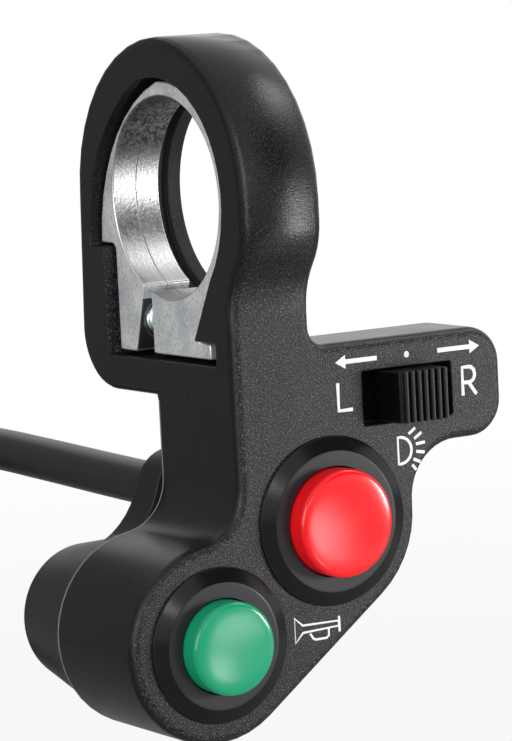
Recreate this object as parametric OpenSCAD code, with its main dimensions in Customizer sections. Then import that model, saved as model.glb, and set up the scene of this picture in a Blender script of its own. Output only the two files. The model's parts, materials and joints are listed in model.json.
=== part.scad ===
// Handlebar switch cluster: two push buttons, a three-place slide and a clamp for the bar.
// The bar runs along X, the rider looks along +Y at the buttons, and Z is up.
// The origin is the middle of the bar, and all sizes are in millimetres.

/* [Handlebar clamp] */
// Diameter of the handlebar that the collar grips
bar_d = 22; // [20:0.5:24]
// Plastic and metal between the bar and the outside of the ring
ring_wall = 6.4; // [6.2:0.1:7.5]
// Width of the plastic ring along the bar
ring_w = 10; // [9.6:0.1:11]
// Wall of the metal collar round the bar
collar_wall = 1.6; // [1.2:0.1:1.8]
// Width of the metal collar along the bar
collar_w = 6; // [5:0.1:6.4]
// Depth of the collar below the near face of the ring
collar_inset = 1; // [0.5:0.1:1.4]
// Thread diameter of the clamp screw
clamp_screw_d = 4; // [3:0.5:4.5]
// Depth of the block that holds the lugs, below the underside of the bar
block_drop = 10.6; // [10:0.1:12]

/* [Front plate] */
// Distance from the bar to the front of the plate
plate_out = 14; // [13.6:0.1:15]
// Wall of the front plate
plate_t = 2.2; // [1.8:0.1:2.4]
// Radius of the rounded front edges
edge_r = 1.1; // [0.6:0.1:1.3]
// Plastic from the red cap to the outside of the body
barrel_wall = 4.85; // [4.7:0.05:5.2]
// Depth of the body from the plate to the seam
body_depth = 16; // [15.6:0.2:18]

/* [Buttons] */
// Sideways place of the red button
red_x = 6.4; // [6:0.1:7]
// Height of the red button, below the block that holds the lugs
red_drop = 13.5; // [12.5:0.1:15]
// How far the green button is to the left of the red one
green_left = 14.9; // [14:0.1:16]
// How far the green button is below the red one
green_drop = 11.4; // [10.5:0.1:12.5]
// Diameter of the red cap
red_cap_d = 11.7; // [11:0.1:12.4]
// Diameter of the green cap
green_cap_d = 10; // [9:0.1:11]
// How far the caps stand out of the plate
cap_out = 3.4; // [3.2:0.1:5]
// How far a cap goes in
press_travel = 2.5; // [1:0.1:2.6]
// Width of the bezel's flange round its cap
bezel_rim = 3.35; // [2.4:0.05:3.5]

/* [Turn slide] */
// Wall between the neck and the slide's pocket
wing_root = 0.9; // [0.6:0.1:2]
// Wall at the right end of the wing
wing_end = 1.6; // [0.9:0.1:2]
// Top of the wing, above the slide's middle
wing_rise = 6.35; // [6:0.05:7]
// Height of the wing
wing_h = 12.1; // [11.8:0.1:12.6]
// Depth of the wing behind the plate's front
wing_depth = 9; // [8.8:0.1:10]
// Width of the thumb knob
knob_w = 6.5; // [5.5:0.1:6.8]
// Height of the thumb knob
knob_h = 5.6; // [5:0.1:5.8]
// How far the thumb knob stands out of the plate
knob_out = 3.4; // [2:0.1:5]
// How far the knob slides each way
slide_travel = 2.4; // [1.5:0.1:2.5]

/* [Rear cover and cable] */
// Depth of the rear cover behind the seam
cover_depth = 13; // [12:0.1:14.5]
// Depth of the cable boss behind the seam
boss_depth = 5; // [4.6:0.1:6]
// Wall of the rear cover
cover_wall = 1.3; // [1.1:0.1:1.4]
// Radius of the boss round the cable
boss_r = 4.6; // [4.3:0.1:5]
// Diameter of the cable
cable_d = 5; // [4.4:0.1:5.2]
// Diameter of the put-away coil, at the middle of the cable
coil_d = 52; // [50:1:60]

/* [Hidden] */
$fn = 64;

// Largest turn between two points of an outline
arc_step = 9;
// Room for a cutter to run past a face
past = 1;
// Clearances of parts that slide, that sit in a hole, and that only lie side by side
slide_fit = 0.1;
seat_fit = 0.05;
loose_fit = 0.2;

// Places along Y, from the front to the back
plate_front = -plate_out;
plate_back = plate_front + plate_t;
wing_back = plate_front + wing_depth;
seam_y = plate_front + body_depth;
cover_back = seam_y + cover_depth;
boss_back = seam_y + boss_depth;

// Places across the front, as [x, z]
bar_r = bar_d / 2;
block_low = -bar_r - block_drop;
red = [red_x, block_low - red_drop];
green = red - [green_left, green_drop];
barrel_r = red_cap_d / 2 + barrel_wall;
neck_half = ring_w / 2;
neck_rise = 8.6;
neck_top = block_low + neck_rise;
wing_corner = 4;
waist_r = 5.5;
armpit_r = 6;

// Ring and collar
ring_r = bar_r + ring_wall;
collar_x0 = -ring_w / 2 + collar_inset;
collar_x1 = collar_x0 + collar_w;
collar_r = bar_r + collar_wall;
recess_gap = 0.5;
recess_r = collar_r + recess_gap;
floor_t = 4;
pocket_low = block_low + floor_t;
lug_low = pocket_low + recess_gap;
block_corner = 6.5;
block_flare = 0.8;
sweep_r = 8;
// The recess and the collar swell towards the back on a wide arc
swell_c = -bar_r * [0.445, 0.509];
swell_wall = 0.56;
swell_r = bar_r + norm(swell_c) + swell_wall + 2 * recess_gap;
lug_gap = 1.15;
lug_back = bar_r;
back_wall = lug_back + lug_gap;
slot_in = 0.5;
slot_front = slot_in - bar_r;
ledge_h = 2.5;
ledge_w = 4.3;
ledge_z = pocket_low + ledge_h;
lug_in = 2.6;
lug_front = slot_front + lug_in;
collar_foot = 4.9;
collar_ease = 0.3;
lug_notch = 0.6;
split_front = 3.9;
split_back = 7.6;
split_top = 5.3;
split_rise = 1.4;
// Clamp screw, which passes close under the bar
screw_r = clamp_screw_d / 2;
screw_under = 0.5;
screw_at = [collar_x0 + collar_w / 2, -bar_r - screw_r - screw_under];
screw_head_r = screw_r * 1.7;
screw_head_t = 2.6;
screw_tip = slot_front + 5.6;
seat_t = 1.4;
head_seat = back_wall + seat_t;
cross_w = 0.8;
// Lip round the bar on the far side of the collar
lip_gap = 0.3;
lip_groove = 0.9;
lip_groove_w = 1.3;

// Angles where the arcs of the outlines meet
centre_turn = atan2(red[1] - green[1], red[0] - green[0]);
diagonal = centre_turn - 90;
diagonal_out = [cos(diagonal), sin(diagonal)];
// The body is a little wider round the red button, which tilts its lower right side
red_swell = 0.4;
red_barrel_r = barrel_r + red_swell;
body_diagonal = diagonal - asin(red_swell / norm(red - green));
function beside(x, c, r) = [x, c[1] + sqrt(pow(r, 2) - pow(x - c[0], 2))];
function under(z, c, r) = [c[0] + sqrt(pow(r, 2) - pow(z - c[1], 2)), z];
function toward(a, b) = atan2(b[1] - a[1], b[0] - a[0]);
function meet(a, ra, b, rb, side) =
    let (d = norm(b - a), k = (pow(ra, 2) - pow(rb, 2) + d * d) / (2 * d), u = (b - a) / d)
    a + k * u + side * sqrt(pow(ra, 2) - k * k) * [-u[1], u[0]];
waist_left = beside(-neck_half - waist_r, green, barrel_r + waist_r);
waist_right = beside(neck_half + waist_r, red, red_barrel_r + waist_r);

// Hollow of the body, rear cover and its screws
body_wall = 2.1;
hollow_r = barrel_r - body_wall;
cover_lip = 0.5;
cover_r = barrel_r - cover_lip;
cover_edge = 0.5;
cover_draft = 2.4;
cup_step = 1;
lobe_r = cover_r - cup_step;
boss = red + [-7.6, 2.6];
boss_edge = 0.8;
crook_r = 2;
crotch_r = 9;
post_r = 2.4;
post = (red + green) / 2 + (lobe_r - post_r) * diagonal_out;
tap_r = 1;
tap_deep = 6;
tap_spare = 0.5;
small_head_r = 1.75;
small_head_t = 1;
small_slot = 0.4;
// The tab's screw head lies beside the cover's wall, and the tab just under the block
tab_rim = 0.35;
tab_r = small_head_r + tab_rim;
tab_t = 3;
tab_out = lobe_r + small_head_r + loose_fit;
tab_z = block_low - tab_r - loose_fit;
tab_side = sqrt(max(0, pow(tab_out, 2) - pow(tab_z - red[1], 2)));
tab = [min(neck_half / 2, red[0] - tab_side), tab_z];

// Button stacks
sleeve_wall = 1.35;
sleeve_long = 7.3;
sleeve_end = plate_back + sleeve_long;
step_in = 1.3;
step_y = plate_back + step_in;
rim_high = 0.95;
rim_low = 0.25;
rim_band = 1.6;
cap_edge = 0.6;
cap_flange = 0.45;
cap_flange_t = 1;
nut_wall = barrel_wall - body_wall - sleeve_wall - loose_fit;
nut_t = 2;
nut_notch = [1, 1.4, 2];
base_t = 1.5;
bridge_t = 0.4;
bridge_w = 2.4;
contact_gap = 0.25;
flange_back = step_y + slide_fit + cap_flange_t;
rivet_head = 0.45;
bridge_back = sleeve_end - rivet_head - contact_gap - press_travel;
plunger_r = 1.6;
rivet_r = 0.5;
rivet_head_r = 0.9;
rivet_in = 3.2;
rivet_out = 2.5;
rivet_tail = sleeve_end + base_t + rivet_out;
bridge_in = 2;
spring_wire = 0.6;
spring_in = 0.85;
spring_turns = 3;
// Radii of a button stack, from the diameter of its cap
function bore_r(cap_d) = cap_d / 2 + slide_fit;
function wide_r(cap_d) = cap_d / 2 + cap_flange + slide_fit;
function sleeve_r(cap_d) = cap_d / 2 + sleeve_wall;
function nut_r(cap_d) = sleeve_r(cap_d) + nut_wall;
function rivet_at(cap_d) = cap_d / 2 - rivet_in;

// Slide switch
slot_half = knob_w / 2 + slide_travel + loose_fit;
slot_half_h = knob_h / 2 + slide_fit + seat_fit;
shutter_lap = 0.7;
shutter_half = slot_half + slide_travel + loose_fit;
shutter_half_h = slot_half_h + shutter_lap;
shutter_t = 1;
shutter_front = plate_back + slide_fit;
pocket_y = shutter_front + shutter_t + loose_fit;
pocket_end = 0.3;
pocket_half = shutter_half + slide_travel + pocket_end;
pocket_half_h = shutter_half_h + slide_fit;
column_left = neck_half + wing_root;
knob_x = column_left + pocket_half;
column_right = knob_x + pocket_half;
wing_right = column_right + wing_end;
// The slide lies over the ring nut of the red button, and the wing round the slide
slide_gap = 0.5;
knob = [knob_x, red[1] + nut_r(red_cap_d) + slide_gap + pocket_half_h];
wing_top = knob[1] + wing_rise;
wing_low = wing_top - wing_h;
wing_rim = 1.5;
root_r = (neck_top - wing_top) * 0.645;
armpit = under(wing_low - armpit_r, red, red_barrel_r + armpit_r);
frame_end = 3.65;
frame_half = pocket_half - frame_end - pocket_end;
frame_half_h = shutter_half_h - seat_fit;
frame_wall = 0.8;
wing_cover_t = 1.2;
cover_seat = wing_back - wing_cover_t;
board_t = 0.7;
board_out = 1.4;
board_front = cover_seat - board_out;
pin_half = 1.5;
pin_half_h = 1.2;
pin_room = 0.3;
wiper_t = 0.25;
wiper_half = 3;
wiper_half_h = 1;
wiper_gap = 0.3;
stud_r = 0.45;
stud_head_r = 0.7;
stud_head = 0.5;
stud_tail = 0.3;
wiper_back = board_front - stud_head - wiper_gap;
stud_pitch = 3.2;
leaf_half = 5;
leaf_t = 0.25;
leaf_sag = 0.9;
leaf_w = 1.2;
wing_tap = 3.5;
wing_screw_x = [(column_left + knob_x - frame_half) / 2, (column_right + knob_x + frame_half) / 2];
rib_count = 7;
rib_deep = 0.5;
rib_slope = 0.25;

// Cable: its points were chosen by hand, and the coil is worked out
cable_r = cable_d / 2;
gland_lip = 0.8;
gland_wall = 0.4;
gland_r = cable_r + gland_wall;
gland_flange = 0.7;
gland_taper = 0.4;
gland_in = 3;
lead_start = boss_back + gland_lip;
lead_long = 82;
lead_rise = 0.2;
coil_top = [boss[0], lead_start + lead_long, boss[1] + lead_rise];
// How far along each point of the lead is, and how high over the boss
lead_steps = [
    [0, 0], [6, 0], [14, 0.2], [24, 0.5], [36, 0.8], [48, 0.9], [58, 0.7], [66, 0.4], [72, 0.2],
    [lead_long - cable_d, lead_rise]
];
lead_points = [for (s = lead_steps) [boss[0], lead_start + s[0], boss[1] + s[1]]];
wire_r = 0.5;
wire_way = 3;
wire_in = 1.4;
coil_r = coil_d / 2;
coil_turns = 2.25;
coil_rings = 24;
coil_gap = 1.2;
coil_pitch = cable_d + coil_gap;
function coil_point(turn) = coil_top + [
    -coil_pitch * turn,
    coil_r * sin(360 * turn),
    coil_r * (cos(360 * turn) - 1)
];
coil_end = coil_point(coil_turns);
plug_top = coil_end - [0, 0, cable_d];
coil_points = concat(
    [coil_top - [0, cable_d, 0]],
    [for (i = [0:coil_turns * coil_rings]) coil_point(i / coil_rings)],
    [plug_top]
);
coil_last = len(coil_points) - 1;
coil_self_gap = min([
    for (i = [0:coil_last], j = [0:coil_last])
        if (j > i + coil_rings / 2) norm(coil_points[i] - coil_points[j]) - cable_d
]);
echo(coil_self_gap = coil_self_gap);
tie_t = 1;
tie_w = 3.5;
plug_size = [5.6, 9, 18];
plug_hole = 2;
plug_hole_deep = 11;
plug_pitch = [2.7, 4.2];
plug_latch = [2.4, 1, 7];
plug_latch_up = 4;
pin_r = 0.5;
pin_end = 1.5;

// Corners of an outline: an arc that turns left is a bulge, one that turns right is a hollow.
// An inset draws the first kind in and opens the second, so that both stay tangent.
function within_turn(a) = a - 360 * floor(a / 360);
function arc(c, r, from, turn) =
    let (n = max(1, ceil(abs(turn) / arc_step)))
    [for (i = [0:n]) c + r * [cos(from + turn * i / n), sin(from + turn * i / n)]];
function bulge(c, r, from, to, inset = 0) = arc(c, r - inset, from, within_turn(to - from));
function hollow(c, r, from, to, inset = 0) = arc(c, r + inset, from, -within_turn(from - to));

// A closed outline without the doubled points where two arcs touch
same_point = 0.001;
function closed(points) = [
    for (i = [0:len(points) - 1])
        if (norm(points[i] - points[i == 0 ? len(points) - 1 : i - 1]) > same_point) points[i]
];

function neck_and_green(inset, lower = 0) = concat(
    [[neck_half - inset, neck_top - lower], [inset - neck_half, neck_top - lower]],
    hollow(waist_left, waist_r, 0, toward(waist_left, green), inset),
    bulge(green, barrel_r, toward(green, waist_left), body_diagonal, inset)
);

// Outline of the front plate with its wing, in X and Z
function plate_outline(inset = 0, lower = 0) = closed(concat(
    bulge(red, red_barrel_r, body_diagonal, toward(red, armpit), inset),
    hollow(armpit, armpit_r, toward(red, armpit) + 180, 90, inset),
    bulge([wing_right - wing_corner, wing_low + wing_corner], wing_corner, -90, 0, inset),
    bulge([wing_right - wing_corner, wing_top - wing_corner], wing_corner, 0, 90, inset),
    hollow([neck_half + root_r, wing_top + root_r], root_r, -90, -180, inset),
    neck_and_green(inset, lower)
));

// Outline of the body behind the wing
function body_outline() = closed(concat(
    bulge(red, red_barrel_r, body_diagonal, toward(red, waist_right)),
    hollow(waist_right, waist_r, toward(red, waist_right) + 180, 180),
    neck_and_green(0)
));

// Outline round the two buttons, with a third lobe round the cable
function lobed_outline(r, cable_lobe_r, inset = 0) =
    let (
        crook = meet(red, r + crook_r, boss, cable_lobe_r + crook_r, -1),
        crotch = meet(boss, cable_lobe_r + crotch_r, green, r + crotch_r, -1)
    )
    closed(concat(
        bulge(red, r, diagonal, toward(red, crook), inset),
        hollow(crook, crook_r, toward(red, crook) + 180, toward(boss, crook) + 180, inset),
        bulge(boss, cable_lobe_r, toward(boss, crook), toward(boss, crotch), inset),
        hollow(crotch, crotch_r, toward(boss, crotch) + 180, toward(green, crotch) + 180, inset),
        bulge(green, r, toward(green, crotch), diagonal, inset)
    ));

// Side view of the ring and of the block for the lugs, in Y and Z
s_step = (ring_r - plate_out) / 2;
s_turn = acos(1 - s_step / sweep_r);
s_drop = 2 * sweep_r * sin(s_turn);
s_over = 0.7;
s_top = neck_top + s_over + s_drop;
function block_outline(inset = 0, within = 0) = closed(concat(
    [[seam_y + within, block_low + inset]],
    bulge([ring_r + block_flare - block_corner, block_low + block_corner], block_corner, -90, 0, inset),
    bulge([0, 0], ring_r, 0, 180, inset),
    bulge([sweep_r - ring_r, s_top], sweep_r, 180, 180 + s_turn, inset),
    hollow([plate_front - sweep_r, s_top - s_drop], sweep_r, s_turn, 0, inset),
    [[plate_front + inset, neck_top + within], [seam_y + within, neck_top + within]]
));

// The back of the recess and of the collar: the wide arc, then the round about the bar
function swell(wide, round, from) =
    let (p = meet([0, 0], round, swell_c, wide, -1))
    concat(
        bulge(swell_c, wide, from, toward(swell_c, p)),
        bulge([0, 0], round, toward([0, 0], p) + 3, 220)
    );

// Side view of the hollow that takes the collar
function recess_outline() = closed(concat(
    [[back_wall, pocket_low], [back_wall, swell_c[1]]],
    swell(swell_r, recess_r, 0),
    [[slot_front + ledge_w, ledge_z], [slot_front, ledge_z], [slot_front, pocket_low]]
));

// Side view of the collar with both lugs, before the bore and the split are cut
collar_step = swell_c[1] + collar_ease;
collar_ledge = ledge_z - collar_ease;
function collar_outline() = closed(concat(
    [[lug_back, lug_low], [lug_back, collar_step - lug_notch], [lug_back + lug_notch, collar_step]],
    swell(swell_r - 2 * recess_gap, collar_r, 1),
    [[slot_front + collar_foot, collar_ledge], [lug_front, collar_ledge], [lug_front, lug_low]]
));

// A closed skin over rings of equal count, the first ring turning left as seen from its own side.
// A skin that comes back to its first ring is a hoop, and any other has two flat ends.
module loft(rings, hoop = false) {
    n = len(rings[0]);
    m = len(rings);
    sides = [
        for (k = [0:m - (hoop ? 1 : 2)], i = [0:n - 1])
            let (j = (i + 1) % n, a = k * n + i, b = k * n + j, c = (k + 1) % m * n)
            each [[a, b, c + j], [a, c + j, c + i]]
    ];
    ends = [[for (i = [n - 1:-1:0]) i], [for (i = [0:n - 1]) (m - 1) * n + i]];
    polyhedron(points = [for (ring = rings) each ring], faces = concat(sides, hoop ? [] : ends));
}

// A round tube along a route, with one ring at each of its points
function unit(v) = v / norm(v);
function heading(route, i) =
    unit(route[min(i + 1, len(route) - 1)] - route[max(i - 1, 0)]);
module tube(route, r, sides, across) {
    last = len(route) - 1;
    loft([
        for (i = [0:last])
            let (
                t = i == 0 ? unit(route[1] - route[0])
                    : i == last ? unit(route[last] - route[last - 1])
                    : heading(route, i),
                u = unit(cross(t, across)),
                v = cross(u, t)
            )
            [for (k = [0:sides - 1]) route[i] + r * (cos(360 * k / sides) * u + sin(360 * k / sides) * v)]
    ]);
}

// A flat shape in X and Z, drawn out along Y
module span_y(y0, y1) {
    translate([0, y1, 0]) rotate([90, 0, 0]) linear_extrude(y1 - y0) children();
}

// A flat shape in Y and Z, drawn out along X
module span_x(x0, x1) {
    translate([x0, 0, 0]) rotate([90, 0, 90]) linear_extrude(x1 - x0) children();
}

// A turned shape about an axis along Y, drawn as radius and Y
module turned(at) {
    translate([at[0], 0, at[1]]) rotate([-90, 0, 0]) rotate_extrude() children();
}

// A round bar along Y
module rod(at, r, y0, y1) {
    translate([at[0], y0, at[1]]) rotate([-90, 0, 0]) cylinder(r = r, h = y1 - y0);
}

// A box given by its two corners
module box(low, high) {
    translate(low) cube(high - low);
}

// Rings of a quarter-round edge: how far in each ring lies and how deep
edge_steps = 4;
function edge_ring(k, r) = let (a = 90 * k / edge_steps) [r * (1 - sin(a)), r * (1 - cos(a))];
// How far the hoop of a rounded edge reaches into the flat core that it goes round
hoop_lap = 0.6;

function block_ring(inset, x, within = 0) = [for (p = block_outline(inset, within)) [x, p[0], p[1]]];
function plate_ring(inset, y, lower = 0) = [for (p = plate_outline(inset, lower)) [p[0], y, p[1]]];
function boss_ring(inset, y) = [for (p = lobed_outline(lobe_r, boss_r, inset)) [p[0], y, p[1]]];

module ring_block() {
    half = ring_w / 2;
    edge = [for (k = [0:edge_steps]) edge_ring(k, edge_r)];
    span_x(-half, half) polygon(block_outline(edge_r));
    loft(concat(
        [for (e = edge) block_ring(e[0], half - e[1])],
        [for (k = [edge_steps:-1:0]) block_ring(edge[k][0], edge[k][1] - half)],
        [for (x = [-half, half]) block_ring(edge_r + hoop_lap, x, hoop_lap)]
    ), hoop = true);
}

module front_shell() {
    edge = [for (k = [0:edge_steps]) edge_ring(k, edge_r)];
    span_y(plate_front, wing_back) polygon(plate_outline(edge_r));
    loft(concat(
        [for (e = edge) plate_ring(e[0], plate_front + e[1])],
        [plate_ring(0, wing_back)],
        [for (y = [wing_back, plate_front]) plate_ring(edge_r + hoop_lap, y, hoop_lap)]
    ), hoop = true);
}

// The deep cup of the rear cover behind the green button, tapered for the mould
module green_cup() {
    edge = [for (k = [0:edge_steps]) edge_ring(k, cover_edge)];
    turned(green) polygon(concat(
        [[0, seam_y], [cover_r, seam_y]],
        [for (k = [edge_steps:-1:0]) [cover_r - cover_draft - edge[k][0], cover_back - edge[k][1]]],
        [[0, cover_back]]
    ));
}

module green_cup_hollow() {
    turned(green) polygon([
        [0, seam_y - past],
        [cover_r - cover_wall, seam_y - past],
        [cover_r - cover_draft - cover_wall, cover_back - cover_wall],
        [0, cover_back - cover_wall]
    ]);
}

// The shallow part of the cover, with the lobe that the cable comes out of
module boss_shell() {
    edge = [for (k = [0:edge_steps]) edge_ring(k, boss_edge)];
    span_y(seam_y, boss_back) polygon(lobed_outline(lobe_r, boss_r, boss_edge));
    loft(concat(
        [boss_ring(0, seam_y)],
        [for (k = [edge_steps:-1:0]) boss_ring(edge[k][0], boss_back - edge[k][1])],
        [for (y = [boss_back, seam_y]) boss_ring(boss_edge + hoop_lap, y)]
    ), hoop = true);
}

module front_housing() {
    color([0.05, 0.05, 0.055])
    difference() {
        union() {
            difference() {
                union() {
                    ring_block();
                    front_shell();
                    span_y(wing_back, seam_y) polygon(body_outline());
                }
                span_y(plate_back, seam_y + past) polygon(lobed_outline(hollow_r, boss_r - cover_wall));
            }
            intersection() {
                rod(post, post_r, plate_back - past, seam_y);
                span_y(plate_back - past, seam_y) polygon(body_outline());
            }
        }
        // Hollow for the collar, and the lip round the bar on its far side
        span_x(-ring_w / 2 - past, collar_x1 + seat_fit) polygon(recess_outline());
        rotate([0, 90, 0]) cylinder(r = bar_r + lip_gap, h = ring_w);
        translate([collar_x1, 0, 0]) rotate([0, 90, 0]) cylinder(r = bar_r + lip_groove, h = lip_groove_w);
        rod(screw_at, screw_r + loose_fit, lug_back, ring_r + block_flare + past);
        rod(screw_at, screw_head_r + loose_fit, head_seat, ring_r + block_flare + past);
        // Holes for the bezels
        rod(red, sleeve_r(red_cap_d) + slide_fit, plate_front - past, plate_back + past);
        rod(green, sleeve_r(green_cap_d) + slide_fit, plate_front - past, plate_back + past);
        // Slot, shutter pocket, switch pocket and seat of the wing cover
        knob_box(slot_half, slot_half_h, plate_front - past, plate_back + past);
        box(
            [column_left, plate_back, knob[1] - pocket_half_h],
            [column_right, pocket_y, knob[1] + pocket_half_h]
        );
        knob_box(frame_half + loose_fit, pocket_half_h, plate_back, wing_back + past);
        wing_cover_box(0, cover_seat, wing_back + past);
        // Way for the wires from the switch pocket to the body
        box(
            [knob_x - frame_half, board_front - 2 * wire_r, red[1] + hollow_r - wire_way],
            [knob_x - frame_half + wire_way, cover_seat, knob[1]]
        );
        for (x = wing_screw_x) rod([x, knob[1]], tap_r, cover_seat - wing_tap, wing_back);
        rod(post, tap_r, seam_y - tap_deep, seam_y + past);
        rod(tab, tap_r, seam_y - tap_deep, seam_y + past);
    }
}

// A box about the middle of the slide
module knob_box(half_w, half_h, y0, y1) {
    box([knob[0] - half_w, y0, knob[1] - half_h], [knob[0] + half_w, y1, knob[1] + half_h]);
}

// The seat of the wing cover, or the cover itself when it is drawn in a little
module wing_cover_box(inset, y0, y1) {
    box(
        [column_left + inset, y0, wing_low + wing_rim + inset],
        [column_right - inset, y1, wing_top - wing_rim - inset]
    );
}

module wing_cover() {
    color([0.06, 0.06, 0.065])
    difference() {
        wing_cover_box(slide_fit, cover_seat, wing_back);
        for (x = wing_screw_x) rod([x, knob[1]], tap_r + slide_fit, cover_seat - past, wing_back + past);
    }
}

// A small pan-head screw whose head sits on the face at y
module small_screw(at, y, long) {
    rod(at, tap_r - seat_fit, y - long, y);
    difference() {
        rod(at, small_head_r, y, y + small_head_t);
        box(
            [at[0] - small_head_r, y + small_head_t / 2, at[1] - small_slot / 2],
            [at[0] + small_head_r, y + small_head_t + past, at[1] + small_slot / 2]
        );
    }
}

module wing_screws() {
    color([0.55, 0.56, 0.57])
    for (x = wing_screw_x) small_screw([x, knob[1]], wing_back, wing_cover_t + wing_tap - tap_spare);
}

module cover_screws() {
    color([0.55, 0.56, 0.57]) {
        small_screw(post, boss_back - small_head_t, boss_depth - small_head_t + tap_deep - tap_spare);
        small_screw(tab, seam_y + tab_t, tab_t + tap_deep - tap_spare);
    }
}

module rear_cover() {
    color([0.055, 0.055, 0.06])
    difference() {
        union() {
            difference() {
                union() {
                    green_cup();
                    boss_shell();
                }
                green_cup_hollow();
                span_y(seam_y - past, boss_back - cover_wall)
                    polygon(lobed_outline(lobe_r, boss_r, cover_wall));
            }
            intersection() {
                rod(post, post_r, seam_y, boss_back);
                span_y(seam_y, boss_back - cover_wall / 2) polygon(lobed_outline(lobe_r, boss_r, cover_wall / 2));
            }
            difference() {
                hull() {
                    rod(tab, tab_r, seam_y, seam_y + tab_t);
                    rod(red + (lobe_r - tab_r) * unit(tab - red), tab_r, seam_y, seam_y + tab_t);
                }
                span_y(seam_y - past, seam_y + tab_t + past) polygon(lobed_outline(lobe_r, boss_r, cover_wall / 2));
            }
        }
        rod(boss, gland_r + seat_fit, seam_y, boss_back + past);
        rod(post, tap_r + slide_fit, seam_y - past, boss_back + past);
        rod(post, small_head_r + slide_fit, boss_back - small_head_t, boss_back + past);
        rod(tab, tap_r + slide_fit, seam_y - past, seam_y + tab_t + past);
    }
}

module clamp_collar() {
    color([0.72, 0.72, 0.70])
    difference() {
        span_x(collar_x0, collar_x1) polygon(collar_outline());
        translate([collar_x0 - past, 0, 0]) rotate([0, 90, 0]) cylinder(r = bar_r, h = collar_w + 2 * past);
        span_x(collar_x0 - past, collar_x1 + past) polygon([
            [split_front, -bar_r / 2],
            [split_front, lug_low - past],
            [split_back, lug_low - past],
            [split_back, lug_low],
            [split_top, split_rise - bar_r],
            [split_top, -bar_r / 2]
        ]);
        rod(screw_at, screw_r + loose_fit, split_front + past, lug_back + past);
        rod(screw_at, screw_r, slot_front, split_front + past);
    }
}

module clamp_screw() {
    color([0.66, 0.68, 0.60]) {
        rod(screw_at, screw_r - seat_fit, screw_tip, head_seat + seat_fit + past);
        difference() {
            rod(screw_at, screw_head_r, head_seat + seat_fit, head_seat + screw_head_t);
            for (turn = [0, 90])
                translate([screw_at[0], head_seat + screw_head_t, screw_at[1]])
                    rotate([0, turn, 0]) cube([screw_head_r * 1.2, screw_head_t, cross_w], center = true);
        }
    }
}

module bezel(at, cap_d) {
    flange = cap_d / 2 + bezel_rim;
    color([0.04, 0.04, 0.045])
    turned(at) polygon([
        [bore_r(cap_d), step_y],
        [bore_r(cap_d), plate_front - rim_high],
        [flange - rim_band, plate_front - rim_high],
        [flange, plate_front - rim_low],
        [flange, plate_front],
        [sleeve_r(cap_d), plate_front],
        [sleeve_r(cap_d), sleeve_end],
        [wide_r(cap_d), sleeve_end],
        [wide_r(cap_d), step_y]
    ]);
}

module ring_nut(at, cap_d) {
    color([0.62, 0.60, 0.55])
    difference() {
        rod(at, nut_r(cap_d), plate_back, plate_back + nut_t);
        rod(at, sleeve_r(cap_d) + seat_fit, plate_back - past, plate_back + nut_t + past);
        for (turn = [0:90:270])
            translate([at[0], plate_back + nut_t, at[1]])
                rotate([0, turn, 0])
                translate([nut_r(cap_d), 0, 0])
                cube(nut_notch, center = true);
    }
}

module cap(at, cap_d, tint) {
    front = plate_front - cap_out;
    edge_c = [cap_d / 2 - cap_edge, front + cap_edge];
    color(tint)
    turned(at) polygon(concat(
        [[0, front]],
        [for (a = [-90:15:0]) edge_c + cap_edge * [cos(a), sin(a)]],
        [
            [cap_d / 2, step_y + slide_fit],
            [cap_d / 2 + cap_flange, step_y + slide_fit],
            [cap_d / 2 + cap_flange, flange_back],
            [0, flange_back]
        ]
    ));
}

module plunger(at) {
    color([0.85, 0.85, 0.80]) rod(at, plunger_r, flange_back, bridge_back - bridge_t);
}

module contact_bridge(at, cap_d) {
    half = cap_d / 2 - bridge_in;
    color([0.78, 0.58, 0.30])
    box(
        [at[0] - half, bridge_back - bridge_t, at[1] - bridge_w / 2],
        [at[0] + half, bridge_back, at[1] + bridge_w / 2]
    );
}

module push_spring(at, cap_d) {
    r = cap_d / 2 - spring_in;
    y0 = flange_back + spring_wire / 2 + seat_fit;
    y1 = sleeve_end - spring_wire / 2 - seat_fit;
    rings = 8;
    count = spring_turns * rings;
    color([0.7, 0.7, 0.72])
    tube(
        [
            for (i = [0:count])
                [at[0] + r * cos(360 * i / rings), y0 + (y1 - y0) * i / count, at[1] + r * sin(360 * i / rings)]
        ],
        spring_wire / 2, 6, [0, 1, 0]
    );
}

module switch_base(at, cap_d) {
    color([0.45, 0.30, 0.18])
    difference() {
        rod(at, sleeve_r(cap_d), sleeve_end, sleeve_end + base_t);
        for (side = [-1, 1])
            rod(at + [side * rivet_at(cap_d), 0], rivet_r + seat_fit, sleeve_end - past, sleeve_end + base_t + past);
    }
}

module terminals(at, cap_d) {
    color([0.80, 0.70, 0.45])
    for (side = [-1, 1]) {
        rod(at + [side * rivet_at(cap_d), 0], rivet_r, sleeve_end - rivet_head / 2, rivet_tail);
        rod(at + [side * rivet_at(cap_d), 0], rivet_head_r, sleeve_end - rivet_head, sleeve_end);
    }
}

module red_bezel() { bezel(red, red_cap_d); }
module red_ring_nut() { ring_nut(red, red_cap_d); }
module red_cap() { cap(red, red_cap_d, [0.85, 0.04, 0.06]); }
module red_plunger() { plunger(red); }
module red_spring() { push_spring(red, red_cap_d); }
module red_contact_bridge() { contact_bridge(red, red_cap_d); }
module red_switch_base() { switch_base(red, red_cap_d); }
module red_terminals() { terminals(red, red_cap_d); }
module green_bezel() { bezel(green, green_cap_d); }
module green_ring_nut() { ring_nut(green, green_cap_d); }
module green_cap() { cap(green, green_cap_d, [0.02, 0.42, 0.22]); }
module green_plunger() { plunger(green); }
module green_spring() { push_spring(green, green_cap_d); }
module green_contact_bridge() { contact_bridge(green, green_cap_d); }
module green_switch_base() { switch_base(green, green_cap_d); }
module green_terminals() { terminals(green, green_cap_d); }

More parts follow.
